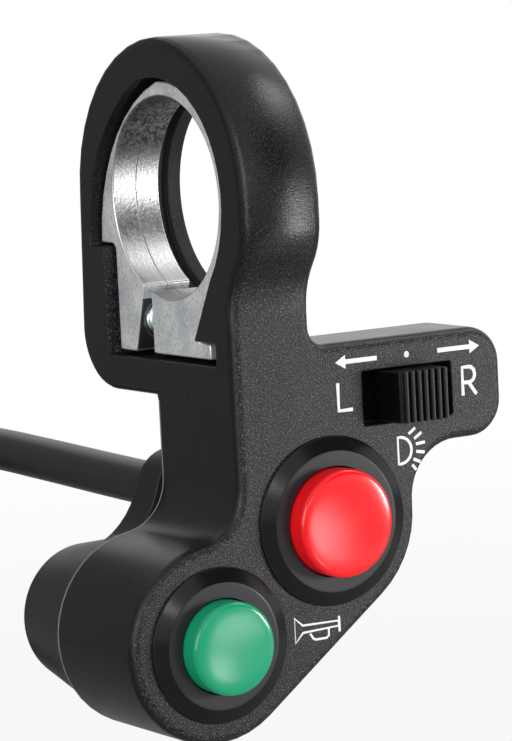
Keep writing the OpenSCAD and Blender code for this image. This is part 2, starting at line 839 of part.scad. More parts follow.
// The thumb knob is a block with ribs across its front and a stem through the slot
module turn_knob() {
    front = plate_front - knob_out;
    half = knob_w / 2;
    pitch = (knob_w - 2 * rib_slope) / rib_count;
    ribs = [
        for (i = [0:rib_count - 1])
            let (x = half - rib_slope - pitch * i)
            each [[x, front], [x - pitch * 0.55, front], [x - pitch * 0.6, front + rib_deep],
                [x - pitch * 0.95, front + rib_deep]]
    ];
    color([0.05, 0.05, 0.055])
    translate([knob[0], 0, knob[1] - knob_h / 2])
    linear_extrude(knob_h) polygon(concat(
        [[-half, shutter_front], [half, shutter_front], [half, plate_front]],
        ribs,
        [[rib_slope - half, front + rib_deep], [-half, plate_front]]
    ));
}

module slide_actuator() {
    color([0.12, 0.12, 0.13]) {
        knob_box(shutter_half, shutter_half_h, shutter_front, shutter_front + shutter_t);
        knob_box(pin_half, pin_half_h, shutter_front + shutter_t / 2, wiper_back - wiper_t);
    }
}

module slide_wiper() {
    color([0.80, 0.62, 0.34]) knob_box(wiper_half, wiper_half_h, wiper_back - wiper_t, wiper_back);
}

module slide_frame() {
    color([0.70, 0.71, 0.72])
    difference() {
        knob_box(frame_half, frame_half_h, pocket_y, board_front);
        knob_box(frame_half - frame_wall, frame_half_h - frame_wall, pocket_y + frame_wall, board_front + past);
        knob_box(pin_half + slide_travel + pin_room, pin_half_h + pin_room, pocket_y - past, pocket_y + frame_wall + past);
    }
}

module slide_board() {
    color([0.48, 0.32, 0.18])
    difference() {
        knob_box(frame_half, frame_half_h, board_front, board_front + board_t);
        for (i = [-1:1])
            rod(knob + [i * stud_pitch, 0], stud_r + seat_fit, board_front - past, board_front + board_t + past);
    }
}

module slide_terminals() {
    color([0.80, 0.70, 0.45])
    for (i = [-1:1]) {
        rod(knob + [i * stud_pitch, 0], stud_r, board_front - stud_head / 2, board_front + board_t + stud_tail);
        rod(knob + [i * stud_pitch, 0], stud_head_r, board_front - stud_head, board_front);
    }
}

module detent_leaf() {
    top = frame_half_h - frame_wall;
    mid_y = (pocket_y + frame_wall + board_front) / 2;
    color([0.75, 0.75, 0.76])
    translate([knob[0], 0, knob[1]])
    span_y(mid_y - leaf_w / 2, mid_y + leaf_w / 2)
    polygon(concat(
        [for (i = [-10:10]) [leaf_half * i / 10, top - leaf_sag * (1 + cos(18 * i)) / 2]],
        [for (i = [10:-1:-10]) [leaf_half * i / 10, top - leaf_t - leaf_sag * (1 + cos(18 * i)) / 2]]
    ));
}

module cable_gland() {
    color([0.04, 0.04, 0.04])
    turned(boss) polygon([
        [0, boss_back - gland_in],
        [gland_r, boss_back - gland_in],
        [gland_r, boss_back],
        [gland_r + gland_flange, boss_back],
        [gland_r + gland_flange, boss_back + gland_lip / 2],
        [gland_r + gland_flange - gland_taper, boss_back + gland_lip],
        [0, boss_back + gland_lip]
    ]);
}

// Cores from the gland to the tails of the two push switches and to the slide switch
module inner_wires() {
    start = boss_back - gland_in;
    ends = [
        red + [rivet_at(red_cap_d), 0],
        red - [rivet_at(red_cap_d), 0],
        green + [rivet_at(green_cap_d), 0],
        green - [rivet_at(green_cap_d), 0]
    ];
    roots = [[1.2, 0.9], [0.6, -1.2], [-0.7, -1.5], [-1.8, -0.3]];
    color([0.15, 0.20, 0.45])
    for (i = [0:3])
        let (a = boss + roots[i], b = ends[i], mid = rivet_tail + 3 * wire_r)
        tube([
            [a[0], start, a[1]],
            [a[0], start - wire_r, a[1]],
            [(a[0] + b[0]) / 2, (start + mid) / 2, (a[1] + b[1]) / 2],
            [b[0], mid, b[1]],
            [b[0], rivet_tail, b[1]]
        ], wire_r, 6, [0.3, 0.1, 1]);
    color([0.5, 0.12, 0.12])
    let (
        x = knob_x - frame_half + wire_in,
        z = red[1] + hollow_r - 2 * wire_r,
        root = boss + [0.2, 1.8],
        y = board_front + board_t / 2
    )
    tube([
        [root[0], start, root[1]],
        [root[0], start - wire_r, root[1]],
        [(root[0] + x) / 2, seam_y - 2 * wire_r, z],
        [x - wire_in, rivet_tail - wire_r, z - 1.5 * wire_r],
        [x, board_front - wire_r / 2, z - 1.5 * wire_r],
        [x, y, z + wire_way / 2],
        [x, y, knob[1] - pocket_half_h]
    ], wire_r / 2, 6, [0.9, 0.5, 0.1]);
}

module cable_lead() {
    color([0.03, 0.03, 0.03]) tube(lead_points, cable_r, 10, [1, 0, 0]);
}

module cable_coil() {
    color([0.03, 0.03, 0.03]) tube(coil_points, cable_r, 6, [1, 0, 0]);
}

// A flat slot shape with round ends over the tops of the turns
module over_turns(r) {
    reach = coil_pitch * floor(coil_turns);
    translate([coil_top[0], coil_top[2]]) {
        circle(r);
        translate([-reach, 0]) circle(r);
        translate([-reach, -r]) square([reach, 2 * r]);
    }
}

module cable_tie() {
    color([0.06, 0.06, 0.06])
    span_y(coil_top[1] - tie_w / 2, coil_top[1] + tie_w / 2)
    difference() {
        over_turns(cable_r + loose_fit + tie_t);
        over_turns(cable_r + loose_fit);
    }
}

module connector_housing() {
    color([0.82, 0.82, 0.78])
    translate(plug_top - [0, 0, plug_size[2]])
    difference() {
        union() {
            translate([-plug_size[0] / 2, -plug_size[1] / 2, 0]) cube(plug_size);
            translate([-plug_latch[0] / 2, plug_size[1] / 2 - plug_latch[1] / 2, plug_latch_up])
                cube([plug_latch[0], 1.5 * plug_latch[1], plug_latch[2]]);
        }
        for (i = [-0.5, 0.5], j = [-0.5, 0.5])
            translate([i * plug_pitch[0] - plug_hole / 2, j * plug_pitch[1] - plug_hole / 2, -past])
                cube([plug_hole, plug_hole, plug_hole_deep + past]);
    }
}

module connector_pins() {
    color([0.80, 0.70, 0.45])
    translate(plug_top - [0, 0, plug_size[2]])
    for (i = [-0.5, 0.5], j = [-0.5, 0.5])
        translate([i * plug_pitch[0], j * plug_pitch[1], pin_end])
            cylinder(r = pin_r, h = plug_hole_deep - pin_end);
}

front_housing();
rear_cover();
wing_cover();
wing_screws();
cover_screws();
clamp_collar();
clamp_screw();
red_bezel();
red_ring_nut();
red_cap();
red_plunger();
red_spring();
red_contact_bridge();
red_switch_base();
red_terminals();
green_bezel();
green_ring_nut();
green_cap();
green_plunger();
green_spring();
green_contact_bridge();
green_switch_base();
green_terminals();
turn_knob();
slide_actuator();
slide_wiper();
slide_frame();
slide_board();
slide_terminals();
detent_leaf();
cable_gland();
inner_wires();
cable_lead();
cable_coil();
cable_tie();
connector_housing();
connector_pins();
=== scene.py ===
# %% [markdown]
# # A handlebar switch cluster
# The part is a black plastic pod that clamps on a handlebar. It has a red and a green push button, a
# ribbed slide for the turn signals, a split metal collar in its ring and a black cable at the back.
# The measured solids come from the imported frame. This lesson gives them rounded edges, finer shapes
# and finishes, and it never moves or resizes them.

# %% Load the frame and keep its box
import json
import math

import bpy
from mathutils import Matrix, Vector


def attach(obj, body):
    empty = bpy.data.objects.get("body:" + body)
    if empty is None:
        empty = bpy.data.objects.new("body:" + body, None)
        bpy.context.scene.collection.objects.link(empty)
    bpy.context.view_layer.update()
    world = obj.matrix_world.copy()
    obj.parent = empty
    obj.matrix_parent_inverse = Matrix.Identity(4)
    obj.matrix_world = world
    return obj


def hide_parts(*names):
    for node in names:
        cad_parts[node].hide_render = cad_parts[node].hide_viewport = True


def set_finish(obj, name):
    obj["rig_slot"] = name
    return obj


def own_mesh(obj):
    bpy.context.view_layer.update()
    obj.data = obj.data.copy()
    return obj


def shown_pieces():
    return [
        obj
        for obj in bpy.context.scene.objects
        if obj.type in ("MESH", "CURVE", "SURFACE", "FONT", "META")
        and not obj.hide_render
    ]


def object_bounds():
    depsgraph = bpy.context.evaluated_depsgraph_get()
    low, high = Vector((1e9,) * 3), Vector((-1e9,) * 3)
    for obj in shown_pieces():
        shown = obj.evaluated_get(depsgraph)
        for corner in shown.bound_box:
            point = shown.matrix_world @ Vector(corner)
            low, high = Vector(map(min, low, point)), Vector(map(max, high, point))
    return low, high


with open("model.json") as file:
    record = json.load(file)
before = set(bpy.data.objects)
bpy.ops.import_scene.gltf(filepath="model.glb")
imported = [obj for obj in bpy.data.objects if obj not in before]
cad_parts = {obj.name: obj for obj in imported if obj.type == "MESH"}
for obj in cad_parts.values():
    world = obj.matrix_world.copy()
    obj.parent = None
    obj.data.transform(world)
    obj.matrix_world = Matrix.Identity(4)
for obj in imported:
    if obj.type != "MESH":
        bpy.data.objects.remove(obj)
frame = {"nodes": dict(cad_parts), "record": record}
cad_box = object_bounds()
MM = 0.001
print("CAD box in mm:", [[round(v / MM, 1) for v in corner] for corner in cad_box])

# %% [markdown]
# ## The camera
# The photograph looks at the front from the left and a little from above, with a long lens. A camera
# could be aimed by eye, but here its turn, tilt and roll were worked out from the outlines of the
# bore and of the two buttons. The middle of the bar bore is a known point, so the camera is set back
# from it by the fitted distance and slid sideways until that point falls on its own pixel.

# %% Place the camera
PHOTO_W, PHOTO_H = 512, 741
FOCAL_PX = 3500
SENSOR_MM = 36
BORE_PX = (195.5, 195.5)
NEAREST_SEEN = 10 * MM
camera_far = 379.9 * MM
camera_turn = math.radians(-32.15)
camera_tilt = math.radians(6.44)
camera_roll = math.radians(2.97)

back = Vector((
    math.sin(camera_turn) * math.cos(camera_tilt),
    -math.cos(camera_turn) * math.cos(camera_tilt),
    math.sin(camera_tilt),
))
level_right = Vector((math.cos(camera_turn), math.sin(camera_turn), 0))
level_up = back.cross(level_right)
right = level_right * math.cos(camera_roll) - level_up * math.sin(camera_roll)
up = back.cross(right)
bore_right = (BORE_PX[0] - PHOTO_W / 2) / FOCAL_PX * camera_far
bore_up = (PHOTO_H / 2 - BORE_PX[1]) / FOCAL_PX * camera_far
eye = back * camera_far - right * bore_right - up * bore_up

bpy.ops.object.select_all(action="DESELECT")
bpy.ops.object.camera_add()
camera = bpy.context.object
camera.name = "photo_camera"
camera.matrix_world = Matrix.Translation(eye) @ Matrix((right, up, back)).transposed().to_4x4()
camera.data.sensor_width = SENSOR_MM
camera.data.lens = FOCAL_PX / PHOTO_H * SENSOR_MM
camera.data.clip_start = NEAREST_SEEN
bpy.context.scene.camera = camera
print("camera at", [round(v / MM) for v in eye], "mm, lens", round(camera.data.lens), "mm")

# %% [markdown]
# ## The cable
# The cable is a 5 mm rubber lead that leaves the boss straight backwards. The photograph shows only
# its first stretch, so the rest of a usual lead is wound into a small coil, held by a tie, and ends
# in a plug. The route is one smooth curve through the same points as the solid: the lead first, then
# two and a quarter turns. Each knot has the cable's radius, and a round bevel of depth one gives the
# curve that thickness.

# %% The cable's route
CABLE_D = 5 * MM
boss = Vector((-1.2, 7.0, -32.5)) * MM
GLAND_LIP = 0.8
lead_start = boss.y + GLAND_LIP * MM
LEAD_LONG = 82
LEAD_RISE = 0.2
lead_steps = [
    (0, 0), (6, 0), (14, 0.2), (24, 0.5), (36, 0.8), (48, 0.9), (58, 0.7), (66, 0.4), (72, 0.2),
    (LEAD_LONG - CABLE_D / MM, LEAD_RISE),
]
coil_top = Vector((boss.x, lead_start + LEAD_LONG * MM, boss.z + LEAD_RISE * MM))
COIL_R = 26 * MM
COIL_PITCH = 6.2 * MM
COIL_TURNS = 2.25
COIL_STEPS = 32


def coil_point(turn):
    """The place on the coil after so many turns."""
    angle = 2 * math.pi * turn
    return coil_top + Vector((
        -COIL_PITCH * turn, COIL_R * math.sin(angle), COIL_R * (math.cos(angle) - 1)
    ))


def between(pairs):
    """The pairs, with the middle of each two put between them."""
    filled = [pairs[0]]
    for a, b in zip(pairs, pairs[1:]):
        filled += [((a[0] + b[0]) / 2, (a[1] + b[1]) / 2), b]
    return filled


cable_route = [
    Vector((boss.x, lead_start + along * MM, boss.z + rise * MM)) for along, rise in between(lead_steps)
]
for step in range(int(COIL_TURNS * COIL_STEPS) + 1):
    cable_route.append(coil_point(step / COIL_STEPS))
plug_top = cable_route[-1] - Vector((0, 0, CABLE_D))
cable_route.append(plug_top)

# %% Draw the cable along its route
# Each handle is a sixth of the step between the knot's two neighbours, which keeps the curve smooth
HANDLE_PART = 6
bpy.ops.object.select_all(action="DESELECT")
bpy.ops.curve.primitive_bezier_curve_add()
cable = bpy.context.object
cable.name = "cable"
spline = cable.data.splines[0]
spline.bezier_points.add(len(cable_route) - len(spline.bezier_points))
befores = cable_route[:1] + cable_route[:-1]
afters = cable_route[1:] + cable_route[-1:]
for knot, before, place, after in zip(spline.bezier_points, befores, cable_route, afters):
    knot.handle_left_type = "FREE"
    knot.handle_right_type = "FREE"
    knot.co = place
    knot.radius = CABLE_D / 2
    knot.handle_left = place - (after - before) / HANDLE_PART
    knot.handle_right = place + (after - before) / HANDLE_PART
spline.resolution_u = 4
cable.data.bevel_depth = 1.0
cable.data.bevel_resolution = 6
cable.data.use_fill_caps = True
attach(cable, "housing")
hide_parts("cable_lead", "cable_coil")
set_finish(cable, "cable_rubber")
print(cable.name, "has", len(spline.bezier_points), "knots")

# %% [markdown]
# ## Working with the CAD meshes
# A CAD node is loose triangles with knife-sharp edges. Real mouldings and castings have small
# rounded edges, which catch the light. A copy of the node is merged, its flat faces are joined, and
# a Bevel modifier rounds the edges that turn by more than a set angle. Weighted normals then keep
# the flat faces flat. The copy replaces the node in the picture, and the node stays for physics.

# %% Helpers for modelling by hand
MERGE_GAP = 0.001 * MM
FLAT_DEGREES = 0.5


def only(piece):
    """Select this piece alone and make it active."""
    bpy.ops.object.select_all(action="DESELECT")
    piece.select_set(True)
    bpy.context.view_layer.objects.active = piece


def edit_all():
    """Go to Edit Mode with everything selected."""
    bpy.ops.object.mode_set(mode="EDIT")
    bpy.ops.mesh.select_all(action="SELECT")


def merge_all():
    """In Edit Mode, merge the points that lie in one place."""
    bpy.ops.mesh.select_all(action="SELECT")
    bpy.ops.mesh.remove_doubles(threshold=MERGE_GAP)


def apply_all(piece):
    """Apply every modifier of a piece."""
    only(piece)
    for modifier in list(piece.modifiers):
        bpy.ops.object.modifier_apply(modifier=modifier.name)


def round_edges(piece, width, steps=2, sharper_than=40):
    """Round every edge that turns by more than an angle, and shade the result smoothly."""
    only(piece)
    bevel = piece.modifiers.new("rounding", "BEVEL")
    bevel.width = width * MM
    bevel.segments = steps
    bevel.limit_method = "ANGLE"
    bevel.angle_limit = math.radians(sharper_than)
    bevel.use_clamp_overlap = False
    bevel.miter_outer = "MITER_ARC"
    apply_all(piece)
    bpy.ops.object.shade_smooth_by_angle(angle=math.radians(sharper_than))
    weights = piece.modifiers.new("weights", "WEIGHTED_NORMAL")
    weights.keep_sharp = True
    apply_all(piece)


# %% Helpers for the pieces
def merged_copy(node, name):
    """A copy of a CAD node with its triangles merged and its flat faces joined."""
    piece = frame["nodes"][node].copy()
    piece.data = piece.data.copy()
    piece.name = name
    piece.data.materials.clear()
    bpy.context.collection.objects.link(piece)
    only(piece)
    edit_all()
    merge_all()
    bpy.ops.mesh.dissolve_limited(angle_limit=math.radians(FLAT_DEGREES))
    bpy.ops.object.mode_set(mode="OBJECT")
    return piece


def dressed(piece, body, slot, *nodes):
    """Let a finished piece ride on its body and stand for its nodes."""
    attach(piece, body)
    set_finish(piece, slot)
    if nodes:
        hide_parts(*nodes)
    print(piece.name, "has", len(piece.data.polygons), "faces")
    return piece


# %% Round the two large mouldings
HOUSING_ROUND = 0.18
COVER_ROUND = 0.15
housing = merged_copy("front_housing", "pod_housing")
round_edges(housing, HOUSING_ROUND, sharper_than=45)
dressed(housing, "housing", "housing_plastic", "front_housing")

rear = merged_copy("rear_cover", "pod_rear_cover")
round_edges(rear, COVER_ROUND, sharper_than=45)
dressed(rear, "housing", "cover_plastic", "rear_cover")

# %% [markdown]
# ## The small mouldings and castings
# The collar, the wing's back plate, the thumb knob, the plug and the tie keep the CAD shape and only
# need their edges rounded, each by as much as its making leaves: a cast edge is softer than a pressed
# one. The same helper makes them all, so the table says only the node, its body, its finish and its
# rounding.

# %% Round the small pieces
small_pieces = [
    ("clamp_collar", "housing", "zinc_casting", 0.22),
    ("wing_cover", "housing", "cover_plastic", 0.15),
    ("wing_screws", "housing", "screw_steel", 0.12),
    ("cover_screws", "housing", "screw_steel", 0.12),
    ("turn_knob", "turn_slider", "knob_plastic", 0.09),
    ("slide_actuator", "turn_slider", "knob_plastic", 0.1),
    ("connector_housing", "housing", "connector_plastic", 0.25),
    ("cable_tie", "housing", "tie_plastic", 0.2),
]
for node, body, slot, width in small_pieces:
    piece = merged_copy(node, f"rounded_{node}")
    round_edges(piece, width, sharper_than=35)
    dressed(piece, body, slot, node)

# %% [markdown]
# ## Turned pieces
# A bezel, a button cap and the cable's grommet are round about an axis along Y. On the real part they
# come from round moulds. The simple way is a profile: one point is extruded from corner to corner,
# and the chain is spun a full turn about the axis. A Bevel then rounds the corners.

# %% A chain of points, an arc and a spun profile
def chain(name, points, closed=False):
    """One point, extruded from place to place, and back to the first if closed."""
    bpy.ops.object.select_all(action="DESELECT")
    bpy.ops.mesh.primitive_plane_add(size=MM, location=points[0])
    piece = bpy.context.object
    piece.name = name
    bpy.ops.object.transform_apply(location=True, rotation=True, scale=True)
    edit_all()
    bpy.ops.mesh.merge(type="CENTER")
    route = [*points, points[0]] if closed else points
    for a, b in zip(route, route[1:]):
        bpy.ops.mesh.extrude_region_move(TRANSFORM_OT_translate={"value": Vector(b) - Vector(a)})
    if closed:
        merge_all()
    bpy.ops.object.mode_set(mode="OBJECT")
    return piece


def arc(middle, wide, high, start, end, steps):
    """Points along an oval about its middle, between two angles in degrees."""
    turns = [math.radians(start + (end - start) * k / steps) for k in range(steps + 1)]
    return [(middle[0] + wide * math.cos(t), middle[1] + high * math.sin(t)) for t in turns]


def spun(name, profile, at, steps=96):
    """Spin a profile of radius and Y, in millimetres, about an axis along Y."""
    piece = chain(name, [(at.x + r * MM, y * MM, at.z) for r, y in profile])
    edit_all()
    bpy.ops.mesh.spin(steps=steps, angle=2 * math.pi, center=(at.x, 0, at.z), axis=(0, 1, 0))
    merge_all()
    bpy.ops.mesh.normals_make_consistent(inside=False)
    bpy.ops.object.mode_set(mode="OBJECT")
    return piece


# %% The round frame of a button
PLATE_Y = -14
BEZEL_RIM = 3.35
BEZEL_ROUND = 0.14
RIM_BAND = 1.6
RIM_HIGH = 0.95
RIM_LOW = 0.25
SLEEVE_WALL = 1.35
SLEEVE_END = -4.5
STEP_Y = -10.5
CAP_FLANGE = 0.45
CAP_FIT = 0.1


def make_bezel(colour, at, cap_r):
    """A cone and a level face outside, and a stepped sleeve for the cap inside."""
    flange = cap_r + BEZEL_RIM
    bore = cap_r + CAP_FIT
    bezel = spun(f"{colour}_bezel_ring", [
        (bore, STEP_Y),
        (bore, PLATE_Y - RIM_HIGH),
        (flange - RIM_BAND, PLATE_Y - RIM_HIGH),
        (flange, PLATE_Y - RIM_LOW),
        (flange, PLATE_Y),
        (cap_r + SLEEVE_WALL, PLATE_Y),
        (cap_r + SLEEVE_WALL, SLEEVE_END),
        (cap_r + CAP_FLANGE + CAP_FIT, SLEEVE_END),
        (cap_r + CAP_FLANGE + CAP_FIT, STEP_Y),
        (bore, STEP_Y),
    ], at)
    round_edges(bezel, BEZEL_ROUND, steps=3, sharper_than=20)
    dressed(bezel, "housing", "bezel_plastic", f"{colour}_bezel")


# %% The caps, each in its frame
CAP_OUT = 3.4
CAP_EDGE = 0.6
CAP_DOME = 0.15
DOME_STEPS = 5
EDGE_STEPS = 6
FLANGE_THICK = 1.0
flange_front = STEP_Y + CAP_FIT
flange_back = flange_front + FLANGE_THICK
buttons = {
    "red": (Vector((6.4, 0, -35.1)) * MM, 11.7 / 2),
    "green": (Vector((-8.5, 0, -46.5)) * MM, 10.0 / 2),
}


def make_cap(colour, at, cap_r):
    """A slightly domed face, a round edge, and a flange that keeps the cap in its sleeve."""
    front = PLATE_Y - CAP_OUT
    shares = [k / DOME_STEPS for k in range(DOME_STEPS)]
    dome = [(cap_r * share, front + CAP_DOME * share ** 2) for share in shares]
    dome = [p for p in dome if p[0] < cap_r - CAP_EDGE]
    edge_middle = (cap_r - CAP_EDGE, front + CAP_EDGE + CAP_DOME)
    cap = spun(f"{colour}_button_cap", dome + arc(edge_middle, CAP_EDGE, CAP_EDGE, -90, 0, EDGE_STEPS) + [
        (cap_r, flange_front),
        (cap_r + CAP_FLANGE, flange_front),
        (cap_r + CAP_FLANGE, flange_back),
        (0, flange_back),
    ], at)
    only(cap)
    bpy.ops.object.shade_smooth_by_angle(angle=math.radians(35))
    dressed(cap, f"{colour}_button", f"{colour}_plastic", f"{colour}_cap")


for colour, (at, cap_r) in buttons.items():
    make_bezel(colour, at, cap_r)
    make_cap(colour, at, cap_r)

# %% The grommet round the cable
GLAND_R = 2.9
GLAND_FLANGE = 0.7
GLAND_DEEP = 3
GLAND_ROUND = 0.15
gland_back = boss.y / MM
gland_in = gland_back - GLAND_DEEP
grommet = spun("cable_grommet", [
    (0, gland_in),
    (GLAND_R, gland_in),
    (GLAND_R, gland_back),
    (GLAND_R + GLAND_FLANGE, gland_back),
    (GLAND_R + GLAND_FLANGE, gland_back + GLAND_LIP / 2),
    (GLAND_R + GLAND_FLANGE / 2, gland_back + GLAND_LIP),
    (0, gland_back + GLAND_LIP),
], boss)
round_edges(grommet, GLAND_ROUND, steps=3, sharper_than=25)
dressed(grommet, "housing", "cable_rubber", "cable_gland")

# %% [markdown]
# ## The clamp screw
# The screw draws the two lugs of the collar together, and its thread shows in the gap between them.
# The head is cut from a copy of the CAD screw with Bisect. The thread is a short zigzag that a Screw
# modifier winds along the axis, one pitch a turn.

# %% The screw's head
SCREW_TIP = -4.9
SCREW_HEAD_Y = 13.55
HEAD_CUT = 0.3
HEAD_ROUND = 0.2
head = merged_copy("clamp_screw", "clamp_screw_head")
only(head)
edit_all()
bpy.ops.mesh.bisect(
    plane_co=(0, (SCREW_HEAD_Y - HEAD_CUT) * MM, 0), plane_no=(0, 1, 0), use_fill=True, clear_inner=True
)
bpy.ops.object.mode_set(mode="OBJECT")
round_edges(head, HEAD_ROUND, sharper_than=35)
dressed(head, "clamp_bolt", "plated_screw", "clamp_screw")

# %% The screw's thread
THREAD_CREST = 1.94
THREAD_ROOT = 1.66
THREAD_PITCH = 0.7
THREAD_STEPS = 32
screw_axis = Vector((-1.0, 0, -13.5)) * MM
thread_turns = int((SCREW_HEAD_Y - SCREW_TIP) / THREAD_PITCH) - 1
thread_form = [
    (0, THREAD_ROOT), (0.15, THREAD_ROOT), (0.45, THREAD_CREST), (0.65, THREAD_CREST), (1, THREAD_ROOT),
]
thread = chain("clamp_screw_thread", [
    (r * MM, (SCREW_TIP + share * THREAD_PITCH) * MM, 0) for share, r in thread_form
])
winding = thread.modifiers.new("winding", "SCREW")
winding.axis = "Y"
winding.screw_offset = THREAD_PITCH * MM
winding.iterations = thread_turns
winding.steps = THREAD_STEPS
winding.render_steps = THREAD_STEPS
winding.use_merge_vertices = True
apply_all(thread)
edit_all()
merge_all()
bpy.ops.mesh.fill_holes(sides=0)
bpy.ops.mesh.normals_make_consistent(inside=False)
bpy.ops.transform.translate(value=screw_axis)
bpy.ops.object.mode_set(mode="OBJECT")
bpy.ops.object.shade_smooth_by_angle(angle=math.radians(30))
dressed(thread, "clamp_bolt", "plated_screw")

# %% [markdown]
# ## The springs
# Behind each cap a wire spring pushes it out again. The spring is a short helix, a curve with a round
# bevel made into a mesh. It shortens as the cap goes in.

# %% Wind the two springs
SPRING_WIRE = 0.6
SPRING_TURNS = 3
SPRING_STEPS = 24
SPRING_FIT = 0.05
SPRING_INSET = 0.85
spring_front = flange_back + SPRING_WIRE / 2 + SPRING_FIT
spring_back = SLEEVE_END - SPRING_WIRE / 2 - SPRING_FIT


def wire(name, points, thick, closed=False):
    """A chain of points made into a round wire."""
    piece = chain(name, points, closed)
    only(piece)
    bpy.ops.object.convert(target="CURVE")
    piece.data.bevel_depth = thick / 2 * MM
    piece.data.bevel_resolution = 2
    piece.data.use_fill_caps = True
    bpy.ops.object.convert(target="MESH")
    return piece


for colour, (at, cap_r) in buttons.items():
    spring_r = (cap_r - SPRING_INSET) * MM
    helix = []
    for k in range(SPRING_TURNS * SPRING_STEPS + 1):
        turn = 2 * math.pi * k / SPRING_STEPS
        y = spring_front + (spring_back - spring_front) * k / (SPRING_TURNS * SPRING_STEPS)
        helix.append((at.x + spring_r * math.cos(turn), y * MM, at.z + spring_r * math.sin(turn)))
    spring = wire(f"{colour}_coil_spring", helix, SPRING_WIRE)
    bpy.ops.object.shade_smooth_by_angle(angle=math.radians(50))
    dressed(spring, "housing", "spring_steel", f"{colour}_spring")
    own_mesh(spring)

# %% [markdown]
# ## The printed marks
# White marks are printed on the plate: two arrows, a dot, L and R for the turn signals, a lamp and a
# horn. Text objects could make the letters, but the signs are drawn in any case, so all the marks are
# made one way. Each stroke is a chain of points that becomes a curve, gets a round thickness and is
# flattened into a film of paint. The strokes are joined into one piece that rides with the pod.

# %% Strokes of paint
INK_FILM = 0.03
ARROW_INK, LETTER_INK, LAMP_INK, HORN_INK, MOUTH_INK = 0.5, 0.42, 0.34, 0.26, 0.3
MARK_STEPS = 10
DOT_STEPS = 15
marks = []


def stroke(points, width, closed=False):
    """A line of paint, which is a wire flattened on the plate."""
    line = wire("stroke", [(x * MM, PLATE_Y * MM, z * MM) for x, z in points], width, closed)
    edit_all()
    bpy.ops.transform.resize(value=(1, INK_FILM / (width / 2), 1), center_override=(0, PLATE_Y * MM, 0))
    bpy.ops.object.mode_set(mode="OBJECT")
    marks.append(line)


def solid_mark(points):
    """A filled shape, such as an arrow's head."""
    shape = chain("stroke", [(x * MM, (PLATE_Y - INK_FILM) * MM, z * MM) for x, z in points], closed=True)
    edit_all()
    bpy.ops.mesh.edge_face_add()
    bpy.ops.mesh.extrude_region_move(TRANSFORM_OT_translate={"value": (0, 2 * INK_FILM * MM, 0)})
    bpy.ops.mesh.select_all(action="SELECT")
    bpy.ops.mesh.normals_make_consistent(inside=False)
    bpy.ops.object.mode_set(mode="OBJECT")
    marks.append(shape)


# %% Arrows, dot and letters by the slide
ARROW_Z = -18.2
HEAD_LONG = 1.3
HEAD_HALF = 0.75
HEAD_SHARE = 0.8
arrows = [(7.8, 13.2), (26.8, 21.2)]
for tip, tail in arrows:
    inward = 1 if tail > tip else -1
    stroke([(tip + inward * HEAD_LONG * HEAD_SHARE, ARROW_Z), (tail, ARROW_Z)], ARROW_INK)
    solid_mark([
        (tip, ARROW_Z),
        (tip + inward * HEAD_LONG, ARROW_Z + HEAD_HALF),
        (tip + inward * HEAD_LONG, ARROW_Z - HEAD_HALF),
    ])
DOT_X, DOT_WIDE, DOT_HIGH = 17.1, 0.33, 0.36
solid_mark(arc((DOT_X, ARROW_Z), DOT_WIDE, DOT_HIGH, 0, 337.5, DOT_STEPS))

letter_l = [(8.0, -20.4), (8.0, -23.4), (9.8, -23.4)]
stroke(letter_l, LETTER_INK)
R_LEFT, R_TOP, R_LOW = 24.4, -20.4, -23.5
R_BELLY = 0.85
R_BAR = 0.9
R_BOW = 0.75
R_LEG_IN, R_LEG_OUT = 0.8, 1.8
bow = arc((R_LEFT + R_BAR, R_TOP - R_BELLY), R_BOW, R_BELLY, 80, -90, MARK_STEPS)
stroke(
    [(R_LEFT, R_LOW), (R_LEFT, R_TOP), (R_LEFT + R_BAR, R_TOP), *bow, (R_LEFT, R_TOP - 2 * R_BELLY)],
    LETTER_INK,
)
stroke([(R_LEFT + R_LEG_IN, R_TOP - 2 * R_BELLY), (R_LEFT + R_LEG_OUT, R_LOW)], LETTER_INK)
print(len(marks), "marks by the slide")

# %% Lamp and horn by the buttons
LAMP_X, LAMP_Z, LAMP_HALF = 15.45, -28.6, 1.45
BULB_IN = 0.3
bulb = arc((LAMP_X + BULB_IN, LAMP_Z), LAMP_HALF, LAMP_HALF, 85, -85, MARK_STEPS)
stroke([(LAMP_X, LAMP_Z - LAMP_HALF), (LAMP_X, LAMP_Z + LAMP_HALF), *bulb], LAMP_INK, closed=True)
rays = [
    ((16.9, -26.9), (17.8, -26.3)), ((17.6, -27.5), (18.6, -26.9)), ((17.8, -28.1), (19.0, -28.0)),
    ((17.8, -28.9), (18.9, -29.1)), ((17.4, -29.7), (18.3, -30.1)), ((17.2, -30.3), (17.7, -30.9)),
]
for inner, outer in rays:
    stroke([inner, outer], LAMP_INK)
horn_tube = [(1.0, -45.0), (1.0, -47.7), (2.0, -46.7), (6.6, -46.55), (6.6, -46.0), (2.0, -45.9)]
horn_mouth = [(6.7, -45.5), (6.7, -47.2)]
horn_loop = [(2.9, -46.9), (3.3, -47.5), (3.6, -47.65), (5.0, -47.65), (5.3, -47.4), (5.3, -46.7)]
stroke(horn_tube, HORN_INK, closed=True)
stroke(horn_mouth, MOUTH_INK)
stroke(horn_loop, HORN_INK)

bpy.ops.object.select_all(action="DESELECT")
for mark in marks:
    mark.select_set(True)
bpy.context.view_layer.objects.active = marks[0]
bpy.ops.object.join()
print_marks = bpy.context.object
print_marks.name = "printed_marks"
dressed(print_marks, "housing", "natural_plastic")

# %% [markdown]
# ## The tie on the coil
# A small nylon tie holds the turns together. The band is the rounded CAD piece. Its square locking
# head is a cube that is inset, pushed in for the slot, and rounded.

